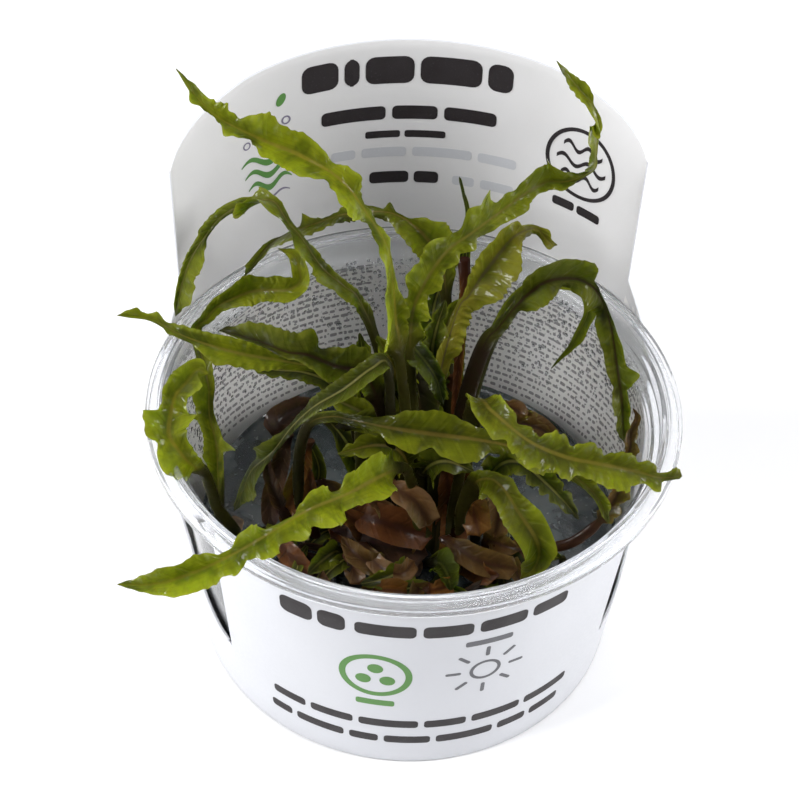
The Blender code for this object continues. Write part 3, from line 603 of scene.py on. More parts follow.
leaves = {
    "tall_left_leaf": leaf(8.5, 0.4, "bright",
        [(-2, -6, 23.4), (-2, -5, 43), (-2, -4, 58), (-4, -2, 76), (-5, -2, 88), (-6, -1, 96),
        (-9.5, 1, 102), (-14, 3, 108), (-20.5, 6.5, 110.5), (-28, 8, 113.5), (-35.5, 10, 117.5),
        (-41, 16, 122)], roll=[0, 0, 0, 0, 30, 60, 60, 35, 10, 0, 0],
        above=[(53, 3), (57, 3), (59, 4.2), (61, 3.4), (64, 1.9), (67, 1.4), (70, 0.8), (72, 0.6),
        (74, 2.1), (76, 1.6), (78, 0.9), (80, 1.6), (82, 1), (84, 1.8), (86, 3.2), (88, 3), (91, 1.9),
        (93, 2.7), (95, 3.2), (97, 3.5), (99, 3.1), (101, 3.4), (104, 4), (106, 3.1), (108, 1.7),
        (110, 1.9), (111.5, 2.6), (113, 1.8), (116, 1.2), (118, 1.1), (120, 0.5)],
        beneath=[(52, 2.7), (55, 4), (58, 5.6), (61, 5.8), (64, 3.9), (66, 3.6), (68, 4.4), (70, 5.6),
        (72, 6.2), (74, 4.4), (75.5, 2.6), (77, 2.1), (79, 1.4), (81, 2.4), (82.5, 3.8), (84, 4.8),
        (86, 4.1), (88, 2.9), (90, 1.8), (92, 3.1), (94, 4.2), (97, 4), (100, 3.4), (102, 3.2), (104, 1.4),
        (105, 0.8), (107, 1.4), (109, 2.2), (110.5, 0.8), (112, 0.3), (114.5, 0.6), (116, 1.5),
        (118, 0.4)]),
    "tall_right_leaf": leaf(7, 0.36, "lively",
        [(3, -5, 23.4), (1, -4, 45), (-1, -1, 64), (-1, 2, 77), (1, 3, 84), (5, 6, 89), (10, 9, 91),
        (15, 13, 92), (19, 16, 93), (24, 19, 94), (28, 18, 95), (32, 17, 98), (32, 16, 102), (32, 17, 105),
        (32, 19, 108), (30.5, 19, 111.5), (28, 20, 114), (24, 21, 119)],
        roll=[0, 0, 0, 0, 0, 20, 40, 50, 60, 40, 20],
        above=[(48, 0.9), (51, 2.6), (54, 1.6), (56, 3.2), (60, 1.8), (63, 3.2), (66, 2.2), (69, 3.4),
        (71, 2.4), (74, 3.7), (75.5, 1.8), (80, 2.8), (86.5, 4.4), (88, 3.1), (91, 2.4), (93, 2.9),
        (95.5, 3.6), (97, 1.8), (99, 0.6), (105, 0.6), (109, 0.7), (112, 1.4), (114, 0.8), (116, 0.4),
        (118, 1.3), (120, 1.9), (122, 1.2), (124, 0.7)],
        beneath=[(48, 1), (52, 2.6), (56, 3.4), (59, 1.8), (63, 4), (65, 3.2), (68, 4), (71, 2.1), (73, 2),
        (75, 4.6), (77, 3.9), (78.5, 5.6), (80, 3.4), (82, 2.3), (84, 2.8), (86, 2.2), (88, 3.1), (90, 4),
        (93, 4.1), (96, 4.9), (98, 2.6), (100, 1.4), (103, 2.2), (105, 2.6), (108, 2), (110, 4.2),
        (112, 3.7), (114, 4), (116, 3), (118, 2), (120, 2.6), (122, 1.8), (124, 0.7)]),
    "left_arch_leaf": leaf(6, 0.4, "green",
        [(-3, 2, 23.4), (-3, 4, 43), (-6, 7, 62), (-10, 10, 74), (-13, 11, 77), (-17, 13, 80),
        (-20.5, 16, 84.5), (-23, 19, 86), (-25.5, 23, 87.5), (-29, 25.5, 85.5), (-33, 26, 83.5),
        (-36, 26, 81), (-38.5, 25, 78), (-41.5, 23, 74), (-43.5, 21, 69), (-45, 19, 63)],
        roll=[0, 0, 10, 20, 20, 40, 50, 30, 10, 10],
        above=[(50, 1.5), (53, 1), (57, 1.2), (62, 1.6), (65, 1.6), (68, 0.8), (70, 1), (78, 1.5),
        (81, 3.6), (83, 1.6), (85, 1.8), (95, 1.8), (96, 1.3), (98, 1.2), (105, 1), (110, 0.8)],
        beneath=[(52, 1.5), (55, 2.8), (58, 2.5), (60, 3.5), (62, 3.6), (64, 2), (66, 3), (68, 3.2),
        (70, 1.5), (73, 1.2), (76, 4.5), (79, 5), (82, 4.6), (84, 2.5), (86, 1.5), (88, 0.6), (95, 0.5),
        (97, 1.5), (99, 2.8), (101, 2.9), (103, 2.2), (105, 2.7), (108, 2.6), (111, 1)]),
    "low_cross_leaf": leaf(6.5, 0.45, "deep",
        [(7, 1, 23.4), (7, 4, 48), (7, 12, 64), (6, 19, 75), (3, 22, 79), (-1, 24, 82), (-5, 25, 83),
        (-10, 27, 81), (-13, 29, 79), (-18, 30, 76), (-23, 31, 73), (-27, 32, 69), (-30, 31, 65),
        (-32, 31, 62)], roll=[0, 0, 0, 0, 0, 60, 60],
        above=[(54, 2), (61.5, 4), (64, 2.5), (67, 0.4), (69, 0.5), (70.5, 2), (71.5, 0.6), (74, 1.2),
        (77, 2.4), (80, 1.6), (83, 1), (85, 0.8), (87, 2), (89.5, 5), (90.7, 1), (95, 0.5), (98, 1.4),
        (100, 2), (103, 2.6), (105, 2.6)],
        beneath=[(54, 2.4), (60, 4.2), (64, 4.3), (67, 3.5), (70, 1.8), (73, 1.2), (80, 1.6), (84, 2),
        (86, 3.3), (88, 3.8), (91, 5), (94, 3.6), (97, 2.8), (100, 2), (103, 1)]),
    "left_inner_leaf": leaf(5.5, 0.1, "lively",
        [(-37, 1, 23.4), (-38, -1, 28), (-38, 1, 36), (-38, 3, 44), (-39, 5, 50), (-39, 8, 55),
        (-40, 12, 58), (-41, 16, 62), (-39, 16, 65), (-37, 17, 67), (-34, 17, 69), (-30, 18, 70),
        (-26, 17, 71), (-23, 16, 72), (-21, 17, 73), (-21, 18, 75), (-22, 20, 77), (-25, 21, 78)],
        roll=[0, 0, 0, 30, 40, 0, 0],
        above=[(12, 1.2), (20, 1.2), (21.5, 3.4), (23, 1.4), (30, 0.9), (35, 1.4), (38, 1.8), (43, 1),
        (48, 1.5), (54.5, 2), (59, 3.1), (63, 2.3), (66, 2.6), (69, 2), (71, 1.6), (74, 1.4)],
        beneath=[(12, 1.5), (17, 2), (20, 2.8), (25, 2.2), (30, 2.6), (33, 3.4), (36, 2.5), (40, 1.2),
        (48, 1.4), (54.5, 2), (59, 3), (63, 2.3), (66, 2.6), (69, 2), (71, 1.6), (74, 1.4)]),
    "left_curled_leaf": leaf(6, 0.5, "bright",
        [(-35, -2, 23.4), (-38, -5, 34), (-39, -7, 42), (-40, -8, 48), (-42, -13, 56), (-44, -13, 60),
        (-45.5, -11, 62), (-45, -7, 64), (-44, -6, 67), (-42, -5, 69), (-40, -4, 71), (-38, -5, 71)],
        above=[(30, 1.5), (36, 2), (40, 2.4), (43, 3.5), (46, 4.6), (49, 5), (51, 2.6), (53, 2.2),
        (56, 2.8), (58, 2)],
        beneath=[(30, 2), (34, 3.4), (37, 3.8), (40.5, 4.6), (42.5, 2.6), (44, 4.4), (46, 5), (47.5, 2.4),
        (49, 2), (52, 2.6), (55, 3), (58, 2)]),
    "fold_down_leaf": leaf(5, 0.44, "shaded",
        [(-6, -5, 23.4), (-5, -6, 42), (-5, -7, 60), (-6, -6, 73), (-9, -9, 75), (-14, -11, 72),
        (-19, -10, 67), (-23, -8, 60), (-27, -8, 53), (-31, -6, 46), (-33, -5, 39), (-35, -5, 33)],
        roll=[0, 0, 30, 40, 30, 20],
        above=[(50, 1.5), (56, 2.4), (60, 2.8), (66, 2.2), (69, 2), (72, 1.1), (78, 0.8), (80, 1.1),
        (82, 2.2), (84, 3.3), (86, 3.6), (87.5, 3), (89, 1.5), (91, 1.1), (95, 0.8), (99.5, 1), (105, 0.6)],
        beneath=[(50, 1.5), (56, 2.2), (60, 2.3), (64, 1.8), (70, 1.3), (76, 1), (84, 0.7), (88, 1.2),
        (90, 2), (91.5, 3.5), (94, 3.3), (97, 2.8), (99, 2.2), (102, 1.5), (105, 0.8)]),
    "front_cross_leaf": leaf(9.5, 0.3, "deep",
        [(-20, -2, 23.4), (-22, -2, 32), (-22, -2, 45), (-20, -3, 55), (-16, -6, 60), (-12, -9, 62),
        (-6, -12, 63), (2, -14, 63), (11, -15, 62), (19, -16, 60), (27, -17, 55), (33, -18, 49),
        (36, -19, 42)], roll=[0, 0, 0, 0, 0, 10, 20],
        above=[(42, 1.1), (50, 1.4), (53, 3), (57, 4.2), (60, 2.5), (62, 4), (65, 4.8), (68, 4.2), (71, 2),
        (75, 2), (79, 3.4), (81, 3.2), (84, 1.6), (86, 1.2), (92, 0.8), (100, 0.8)],
        beneath=[(45, 1.1), (48, 1.3), (52, 2.2), (55, 3.5), (58, 3.8), (60, 4.2), (63, 3.8), (65, 3),
        (68, 2.2), (72, 3), (77, 2.2), (81, 3), (85, 2.2), (90, 2.4), (94, 1.4), (98, 1.4), (101, 0.6)]),
    "front_left_leaf": leaf(7.5, 0.35, "bright",
        [(-1, -10, 23.4), (1, -9, 35), (-1, -10, 46), (-3, -14, 54), (-7, -19, 58), (-14, -26, 61),
        (-21, -32, 64), (-28, -38, 65), (-34, -43, 66), (-41, -46, 65), (-47, -47, 64), (-53, -46, 63)],
        above=[(34, 1.2), (36, 1.5), (37.5, 3.8), (40, 3), (43, 4.2), (46, 3.8), (48, 3.2), (50, 3.4),
        (51.5, 1.2), (53.5, 1.3), (55, 2.6), (57, 3), (59, 2.8), (61, 1.6), (63, 0.4), (66, 0.6), (69, 0.9),
        (71, 2.4), (73, 2.9), (75, 2.6), (77, 1), (79, 1), (81, 2.2), (83, 2.8), (86, 2.2), (89, 2.6),
        (92, 1.8), (95, 0.8)],
        beneath=[(34, 1), (36, 0.9), (39, 2), (40.5, 3.6), (42, 3.4), (45, 3.8), (48, 3), (50, 2.6),
        (53, 2.6), (54, 4), (57, 4.5), (60, 4), (61, 2.8), (63, 3.8), (65, 4.2), (66.5, 3), (68, 2.6),
        (70, 3.8), (72, 3.6), (74, 2.4), (75, 2), (76.5, 2.8), (78, 3.4), (80, 2.6), (82, 3.2), (85, 3),
        (88, 2.8), (90, 2), (93, 1.2), (95, 0.7)]),
    "right_reach_leaf": leaf(8.5, 0.44, "olive",
        [(7, -9, 23.4), (8, -8, 38), (9.5, -7, 54), (11, -7, 62), (11, -10.5, 67.5), (12.5, -17, 71),
        (18, -23.5, 70.5), (24, -27, 70), (30, -28, 69), (36, -28, 67), (41, -28, 65), (45.5, -26.5, 63.5)],
        above=[(32, 1.4), (37, 2.6), (42, 3), (48, 2.8), (52, 2.8), (56.5, 2.4), (58, 1.3), (60, 2.2),
        (63, 1.6), (64, 2.4), (65.5, 3.4), (68, 3.3), (69, 1.9), (70, 2.6), (72, 3.4), (74, 2.7), (75, 1.6),
        (76, 2.2), (78, 2.8), (80, 2.7), (81.5, 1.6), (83, 2.3), (85, 1.9), (86, 0.8), (88, 1), (89.5, 1.7),
        (91, 1.3)],
        beneath=[(32, 1.2), (37, 2.2), (42, 2.5), (48, 2.6), (52, 3), (55, 3.4), (57, 4), (58.5, 2.3),
        (60, 3.4), (62, 3.7), (64, 4.4), (66, 3.7), (67, 3.1), (70, 4), (71, 2.8), (72, 2.7), (74, 3.1),
        (76, 4), (79.5, 4.1), (81, 2.6), (84, 1.7), (85.5, 2.7), (86.7, 2.5), (87.2, 0.6), (91, 0.5)]),
    "front_right_leaf": leaf(7, 0.4, "olive",
        [(10, -9, 23.4), (9, -10, 36), (11, -10, 44), (12, -12, 48), (14, -14, 50), (16, -17, 50),
        (18, -20, 48), (21, -24, 45), (22, -25, 41), (21, -26, 38), (19, -25, 34)],
        roll=[0, 0, 0, 0, 0, 20],
        above=[(16, 1.5), (20, 3), (24, 3.4), (34, 3.2), (38, 3.9), (44, 3.8), (46, 3.7), (49, 3),
        (52, 1.8)],
        beneath=[(16, 1.3), (20, 1.8), (25, 2), (28, 1.5), (30, 1.6), (32, 2.4), (34, 2), (37, 2.7),
        (40, 3.1), (45, 2.7), (48, 2.1), (51, 1.2)]),
    "right_arch_leaf": leaf(6, 0.42, "maroon",
        [(9, -5, 23.4), (8, -4, 42), (9.5, -1, 58), (13, 4, 68), (15.5, 5.5, 70.5), (18.5, 7.5, 73.5),
        (21.5, 9.5, 75.5), (25, 10, 78), (30, 11, 77.5), (33.5, 11, 75.5), (36, 11, 71.5), (37.5, 9, 68),
        (38.5, 7, 64), (39, 5, 61), (39.5, 2, 58), (40, 0, 55), (40.5, -2, 50), (41, -3, 47)],
        roll=[0, 0, 0, 20, 40, 20, 0],
        above=[(30, 1.7), (44, 1.7), (52, 1.6), (56, 1.3), (57, 2.8), (58, 3.6), (62, 4.2), (64, 4),
        (66, 3), (67, 1.8), (69, 2.2), (70, 3.3), (72, 4.2), (75, 4.7), (77, 4.7), (79, 3), (80, 2.2),
        (82, 3.3), (84, 3.3), (86, 3), (88, 2.4), (92, 2.4), (94, 1.7), (95, 1.3), (96, 1.9), (98, 2.4),
        (100, 2), (101, 1.3), (103, 1.7), (105, 1)],
        beneath=[(30, 1.6), (44, 1.5), (52, 1.1), (56, 0.9), (58, 2), (62, 3), (66, 3.6), (70, 3.6),
        (71, 3.2), (72, 2), (73, 1.1), (77, 0.5), (80, 0.5), (83, 0.8), (88, 1.4), (91, 1.5), (93.5, 3.3),
        (95, 2), (96, 1.1), (100, 1.4), (102, 1.1), (104, 1.4)]),
    "thin_hanging_leaf": leaf(2.8, 0.5, "green",
        [(12, 0, 23.4), (11, 2, 48), (14, 8, 60), (19, 15, 67), (25, 18, 70), (30, 18, 70), (33, 17.5, 69),
        (34.5, 17, 66.5), (34.5, 15.5, 64), (33, 14, 61), (31.5, 13, 58), (29, 12, 55), (28, 12, 53)],
        ruffle=0.4,
        above=[(44, 1.2), (56, 1.4), (66, 1.2), (72, 0.8), (76, 0.7), (80, 0.4)],
        beneath=[(44, 1.2), (56, 1.4), (66, 1.4), (70, 1.8), (73, 1.3), (76, 1.5), (79, 0.8), (82, 0.4)]),
    "broad_pale_leaf": leaf(8, 0.45, "pale",
        [(5, -2, 23.4), (4, -2, 42), (4, 1, 57), (8, 9, 71), (10.5, 11, 74), (13.5, 13.5, 77.5),
        (17, 16, 81), (19, 17, 83), (22, 19, 83), (24, 20, 82), (26, 19, 80), (28, 20, 78)],
        roll=[0, 0, 10, 10, 10, 20, 20],
        above=[(36, 1.4), (42, 1.6), (44, 2.8), (54, 2.9), (55.5, 3.7), (57, 5), (59, 5.5), (61, 5.3),
        (63, 5.5), (65, 5.3), (66, 4.5), (68, 3.1), (70, 2), (72, 1.4), (77, 0.9), (79, 1.6)],
        beneath=[(36, 1.2), (43, 1.6), (46, 0.9), (53, 0.6), (56, 1.3), (58, 2.2), (60, 2.7), (62, 3),
        (65, 2.9), (66, 2.6), (68, 2.7), (70, 2.3), (71, 1.1), (75, 0.6), (76.5, 1.3), (79, 0.5)]),
    "upright_shoot": leaf(2.2, 0.3, "dark",
        [(9, 2, 23.4), (9, 7, 52), (10, 15, 70), (11, 23, 82), (10, 25, 87), (9, 25, 91)], ruffle=0.3),
    "dark_pointed_leaf": leaf(5, 0.5, "shadowDark",
        [(0, 0, 23.4), (2, 1, 44), (0, 5, 58), (-1.5, 7, 66.5), (0, 3, 68), (2.5, -1, 67), (4, -2, 64),
        (5, -4, 60)],
        above=[(30, 4), (33, 4.6), (36, 4.2), (40, 3), (44, 2), (48, 1.8), (52, 1.8), (56, 1.5), (60, 1)],
        beneath=[(30, 2), (36, 1.5), (40, 1.9), (44, 1.5), (47, 1.5), (50, 2.4), (52, 3.1), (54, 2.4),
        (57, 2.2), (60, 1.4)]),
    "back_dark_leaf": leaf(5, 0.5, "dark",
        [(4, 1, 23.4), (4, 6, 44), (4, 12, 59), (5, 18, 66), (8, 21, 72), (11, 23, 76)]),
    "long_left_leaf": leaf(5, 0.3, "lively",
        [(-9, -2, 23.4), (-10, -1, 41), (-10, 2, 54), (-9, 4, 61), (-12, 3, 63), (-18, 2, 65), (-25, 2, 67),
        (-32, 3, 68), (-39, 5, 69), (-44, 7, 70), (-49, 10, 71), (-55, 10, 72)],
        above=[(45, 1), (50, 1.5), (55, 2), (60, 2.5), (65, 2.5), (70, 2.2), (75, 1.8), (77, 1.4),
        (79, 0.8), (81, 1.6), (82.5, 0.8), (83.5, 0.9), (84.5, 1.6), (86, 1.1)],
        beneath=[(50, 1), (55, 1.5), (60, 2.8), (65, 2.8), (67, 3.5), (69, 2.5), (71, 1.6), (73, 0.8),
        (76, 0.8), (77.5, 1), (79, 0.5), (85, 0.4)]),
    "broad_left_leaf": leaf(7.5, 0.5, "maroon",
        [(-5, -1, 23.4), (-5, -1, 46), (-7, -2, 59), (-10, -3, 68), (-15, -4, 71), (-20, -4, 74),
        (-24, -4, 75), (-29, -2, 76), (-36, 1, 76)],
        above=[(40, 2.2), (45, 2.8), (48, 3.9), (50, 4.2), (53, 3.3), (55.5, 1.9), (58, 4.4), (60, 3.6),
        (65, 3.2), (68, 2.8), (73, 1.2)],
        beneath=[(40, 2.2), (45, 2.6), (50, 3), (54, 3.4), (56, 2.4), (60, 1.3), (65, 0.8), (70, 0.6)]),
    "low_left_leaf": leaf(4.5, 0.4, "dark",
        [(-9, 0, 23.4), (-10, 2, 40), (-12, 5, 51), (-16, 7, 56), (-21, 8, 58), (-27, 9, 58), (-33, 11, 59),
        (-36, 13, 60)]),
    "right_wall_leaf": leaf(4, 0.4, "brown",
        [(21, -9, 23.4), (26, -12, 27), (31, -14, 31), (36, -13, 36), (39, -11, 41), (40, -9, 46),
        (41, -7, 50), (41, -6, 53), (42, -5, 56), (41, -4, 58)]),
    "right_low_leaf": leaf(6, 0.4, "dark",
        [(13, -6, 23.4), (13, -6, 36), (16, -7, 46), (20, -8, 48), (24, -12, 47), (28, -15, 44),
        (31, -16, 40)]),
    "low_front_leaf_1": leaf(5, 0.25, "low",
        [(-14, -11, 23.4), (-15, -11, 27), (-18, -14, 28), (-21, -18, 29)], ruffle=0.5, pitch=2.6),
    "low_front_leaf_2": leaf(5, 0.2, "dark",
        [(-1, -13, 23.4), (-2, -16, 27), (-6, -19, 28), (-11, -21, 29)], ruffle=0.5, pitch=2.6),
    "low_front_leaf_3": leaf(5.5, 0.2, "shadowDark",
        [(3, -12, 23.4), (5, -15, 27), (6, -20, 29), (6, -25, 31)], ruffle=0.5, pitch=2.6),
    "old_tan_leaf": oldLeaf(5, "tan", [(-4, -8, 23.8), (-4, -8, 30), (-6, -7, 35), (-9, -7, 37)]),
    "old_red_leaf_1": oldLeaf(5, "red", [(-8, -8, 23.8), (-9, -8, 28), (-12, -7, 32), (-16, -6, 33)]),
    "old_brown_leaf_1": oldLeaf(5, "brown", [(14, -3, 23.4), (14, -4, 28), (16, -4, 31), (19, -3, 32)]),
    "old_brown_leaf_2": oldLeaf(5, "brown", [(15, -10, 23.4), (15, -9, 26), (18, -12, 28), (21, -14, 29)]),
    "old_red_leaf_2": oldLeaf(6, "red", [(7, -13, 23.4), (10, -14, 26), (13, -18, 27), (16, -20, 29)]),
    "old_curled_leaf": oldLeaf(5, "brown", [(-4, -12, 23.4), (-6, -14, 26), (-9, -15, 28), (-12, -13, 29),
        (-14, -9, 29)]),
    "old_stalk_1": oldLeaf(3.5, "red", [(-19, -5, 23.4), (-20, -5, 31), (-20, -4, 38), (-20, -3, 43)], 0.3),
    "old_stalk_2": oldLeaf(3, "wine", [(-23, -3, 23.4), (-26, -2, 31), (-28, 0, 38), (-28, 2, 43)], 0.3),
    "old_back_leaf": oldLeaf(7, "wine", [(-25, 19, 24.4), (-26, 25, 25.4), (-22, 29, 26), (-17, 31, 26)]),
    "old_orange_leaf": oldLeaf(4.5, "brown", [(6, 3, 23.4), (8, 8, 40), (9, 12, 49), (9, 17, 55)], 0.3),
    "old_side_leaf": oldLeaf(4.5, "brown", [(16, 21, 24.4), (23, 23, 26), (28, 21, 27), (32, 18, 27)]),
    "dark_floor_leaf": oldLeaf(6, "wine", [(-20, -10, 24.7), (-23, -12, 25.8), (-26, -15, 26),
        (-29, -17, 26)]),
}

# the record's slot; blade, shade, margin and highlight, rib, stalk and spots, each as red, green and blue
# in thousandths; strength of the veins, share of spots, gloss and groove shade
leafLooks = {
    "bright": ("leaf_bright", (149, 161, 3), (30, 34, 1.5), (200, 235, 10), (150, 125, 10),
        (20, 15, 3), (100, 60, 8), 0.1, 0.12, 0.4, 0.15),
    "olive": ("leaf_bright", (82, 84, 3), (30, 30, 2), (150, 170, 8), (120, 95, 12),
        (16, 12, 3), (80, 50, 8), 0.12, 0.15, 0.38, 0.3),
    "lively": ("leaf_green", (128, 138, 3), (26, 30, 1.5), (160, 180, 10), (120, 100, 12),
        (20, 16, 3), (80, 50, 6), 0.1, 0.12, 0.38, 0.3),
    "deep": ("leaf_dark", (65, 69, 2), (16, 18, 1), (130, 145, 6), (100, 75, 12),
        (14, 10, 3), (60, 35, 6), 0.12, 0.2, 0.36, 0.4),
    # a darker copy of the bright leaf for the leaf low in the cup: painted shade
    "low": ("leaf_bright", (19, 21, 1), (6, 8, 1), (90, 100, 5), (60, 50, 8),
        (10, 8, 2), (30, 20, 3), 0.1, 0.2, 0.36, 0.4),
    # a darker copy for leaves deep in the clump: painted shade
    "shadowDark": ("leaf_dark", (14, 18, 1), (4, 6, 1), (45, 55, 3), (40, 45, 6),
        (8, 6, 2), (20, 20, 3), 0.12, 0.1, 0.4, 0.4),
    # near black for leaves and shreds in the clump's deepest shade: painted shade
    "shadowBlack": ("leaf_dark", (9, 8, 2), (4, 3, 1), (20, 20, 3), (20, 14, 4),
        (8, 4, 2), (20, 10, 3), 0.1, 0.2, 0.34, 0.4),
    "green": ("leaf_green", (81, 87, 3), (18, 22, 1.5), (135, 152, 8), (100, 85, 20),
        (15, 11, 3), (60, 40, 6), 0.12, 0.15, 0.38, 0.4),
    "shaded": ("leaf_green", (30, 33, 2), (10, 12, 1), (85, 95, 10), (120, 110, 30),
        (10, 7, 2), (30, 20, 5), 0.12, 0.15, 0.36, 0.6),
    "dark": ("leaf_dark", (28, 31, 2), (7, 9, 1), (95, 105, 7), (130, 118, 25),
        (10, 6, 2), (35, 22, 4), 0.12, 0.15, 0.36, 0.7),
    "maroon": ("leaf_dark", (59, 62, 3), (9, 9, 0.7), (100, 110, 8), (24, 9, 4),
        (13, 5, 3), (50, 25, 5), 0.12, 0.2, 0.36, 0.5),
    "pale": ("leaf_bright", (108, 95, 6), (55, 50, 4), (170, 165, 14), (60, 45, 18),
        (20, 13, 4), (90, 45, 10), 0.2, 0.3, 0.4, 0.3),
    "brown": ("leaf_brown", (54, 26, 6), (18, 9, 3), (100, 55, 15), (30, 11, 5),
        (26, 8, 4), (100, 28, 6), 0.2, 0.5, 0.34, 0.5),
    "tan": ("leaf_brown", (106, 49, 14), (35, 16, 6), (170, 95, 42), (45, 18, 8),
        (35, 11, 5), (130, 40, 12), 0.15, 0.3, 0.36, 0.4),
    "rust": ("leaf_brown", (130, 50, 9), (40, 15, 4), (140, 60, 14), (50, 15, 5),
        (40, 12, 4), (200, 60, 10), 0.15, 0.3, 0.34, 0.5),
    "wine": ("leaf_red", (30, 14, 7), (10, 5, 3), (55, 26, 14), (20, 7, 4),
        (18, 5, 3), (40, 20, 8), 0.25, 0.4, 0.32, 0.5),
    "red": ("leaf_red", (62, 18, 4), (18, 6, 2), (100, 36, 10), (30, 8, 3),
        (24, 6, 3), (60, 26, 8), 0.3, 0.4, 0.3, 0.5),
}


def makeLeafMaterial(name, colours, veins, spots, gloss, groove):
    material, tree, shader = newMaterial(name)
    values = {key: (*(part / 1000 for part in colour), 1)
              for key, colour in zip(("Blade", "Shade", "Margin", "Rib", "Stalk", "Spot"), colours)}
    values.update({"Vein strength": veins, "Spot share": spots, "Gloss": gloss, "Groove shade": groove})
    marks = addNode(tree, "Group", values, node_tree=leafMarks)
    feed(tree, shader, {
        "Base Color": marks["Color"], "Roughness": marks["Roughness"], "Coat Weight": marks["Wet"],
        "Coat Roughness": 0.07, "Coat IOR": 1.38, "IOR": 1.4, "Specular IOR Level": 0.1,
        "Subsurface Weight": 0.12, "Subsurface Scale": 0.002, "Subsurface Radius": (0.6, 1.0, 0.2)})
    addBump(tree, shader, marks["Height"], 0.6, 0.0006)
    return material


def smoothRoute(points, perStep):
    # even steps along a smooth curve through the way points
    points = [Vector(p) for p in points]
    knots = [points[0] * 2 - points[1]] + points + [points[-1] * 2 - points[-2]]
    fine = []
    for a, b, c, d in zip(knots, knots[1:], knots[2:], knots[3:]):
        for i in range(24):
            t = i / 24
            fine.append(0.5 * (2 * b + (c - a) * t + (2 * a - 5 * b + 4 * c - d) * t ** 2
                               + (3 * b - a - 3 * c + d) * t ** 3))
    fine = np.array([tuple(p) for p in fine + [points[-1]]])
    reach = np.concatenate([[0], np.cumsum(np.linalg.norm(np.diff(fine, axis=0), axis=1))])
    count = max(6, round(reach[-1] / leafShape["stretch"])) * perStep
    at = np.linspace(0, reach[-1], count + 1)
    return np.stack([np.interp(at, reach, fine[:, k]) for k in range(3)], 1), at


def unit(rows):
    return rows / np.maximum(np.linalg.norm(rows, axis=-1, keepdims=True), 1e-9)


def bladeSides(line, steps):
    # the blade's sideways direction at every section, turned over nowhere along the leaf
    frontUp = np.array((0.0, -0.7, 0.714))
    coarse = line[::steps]
    sides = []
    for i in range(len(coarse)):
        last = min(i + 1, len(coarse) - 1)
        along = unit(coarse[last] - coarse[max(0, i - 1)]) if i else np.array((0, 0, 1.0))
        across = np.cross(along, frontUp)
        if sides:
            steady = sides[-1] - along * sides[-1].dot(along)
            if np.linalg.norm(across) < 0.35:
                across = steady
            elif across.dot(steady) < 0:
                across = -across
        sides.append(unit(across))
    sides = np.array(sides)
    at = np.arange(len(line)) / steps
    return unit(np.stack([np.interp(at, np.arange(len(sides)), sides[:, k]) for k in range(3)], 1))


def bladeWidth(share):
    return max(0.0, min(1.0, share / 0.16)) ** 0.7 * (1 - min(1.0, max(0.0, share)) ** 3) ** 0.8


def marginRows(spec, rows, length, stalkHalf, seed):
    # a margin that isn't given gets uneven round lobes with narrow notches
    if rows:
        start = max(1.0, rows[0][0] - 5)
        return [(0, stalkHalf), (start, 0.9 * stalkHalf)] + list(rows) + [(length, 0.1)]
    start = spec["stalk"] * length
    chance = random.Random(seed)
    rows = [(0, stalkHalf), (start, 0.9 * stalkHalf)]
    at = start + 0.05 * length
    while at < length - 1:
        lobe = spec["pitch"] * chance.uniform(0.7, 1.6)
        deep = min(0.6, 0.42 * spec["ruffle"] * chance.uniform(0.3, 1.4))
        for along, out in ((0, 1 - deep), (0.22, 0.92), (0.5, 1 + 0.25 * deep), (0.8, 0.95)):
            place = at + along * lobe
            if place < length - 0.5:
                base = 0.5 * spec["wide"] * bladeWidth((place - start) / (length - start))
                rows.append((place, max(0.3, base * out)))
        at += lobe
    return rows + [(length, 0.1)]


def curveThrough(rows, at):
    # eased from one row to the next
    places, widths = np.array(rows, dtype=float).T
    high = np.clip(np.searchsorted(places, at, side="right"), 1, len(rows) - 1)
    share = ease((at - places[high - 1]) / np.maximum(places[high] - places[high - 1], 1e-6))
    return widths[high - 1] + (widths[high] - widths[high - 1]) * share


def softened(values, reach):
    padded = np.pad(values, reach, mode="edge")
    return np.convolve(padded, np.ones(2 * reach + 1) / (2 * reach + 1), mode="valid")


def softNoise(values, seed):
    return np.array([noise.noise((v, seed * 3.7, seed * 1.3)) for v in values])


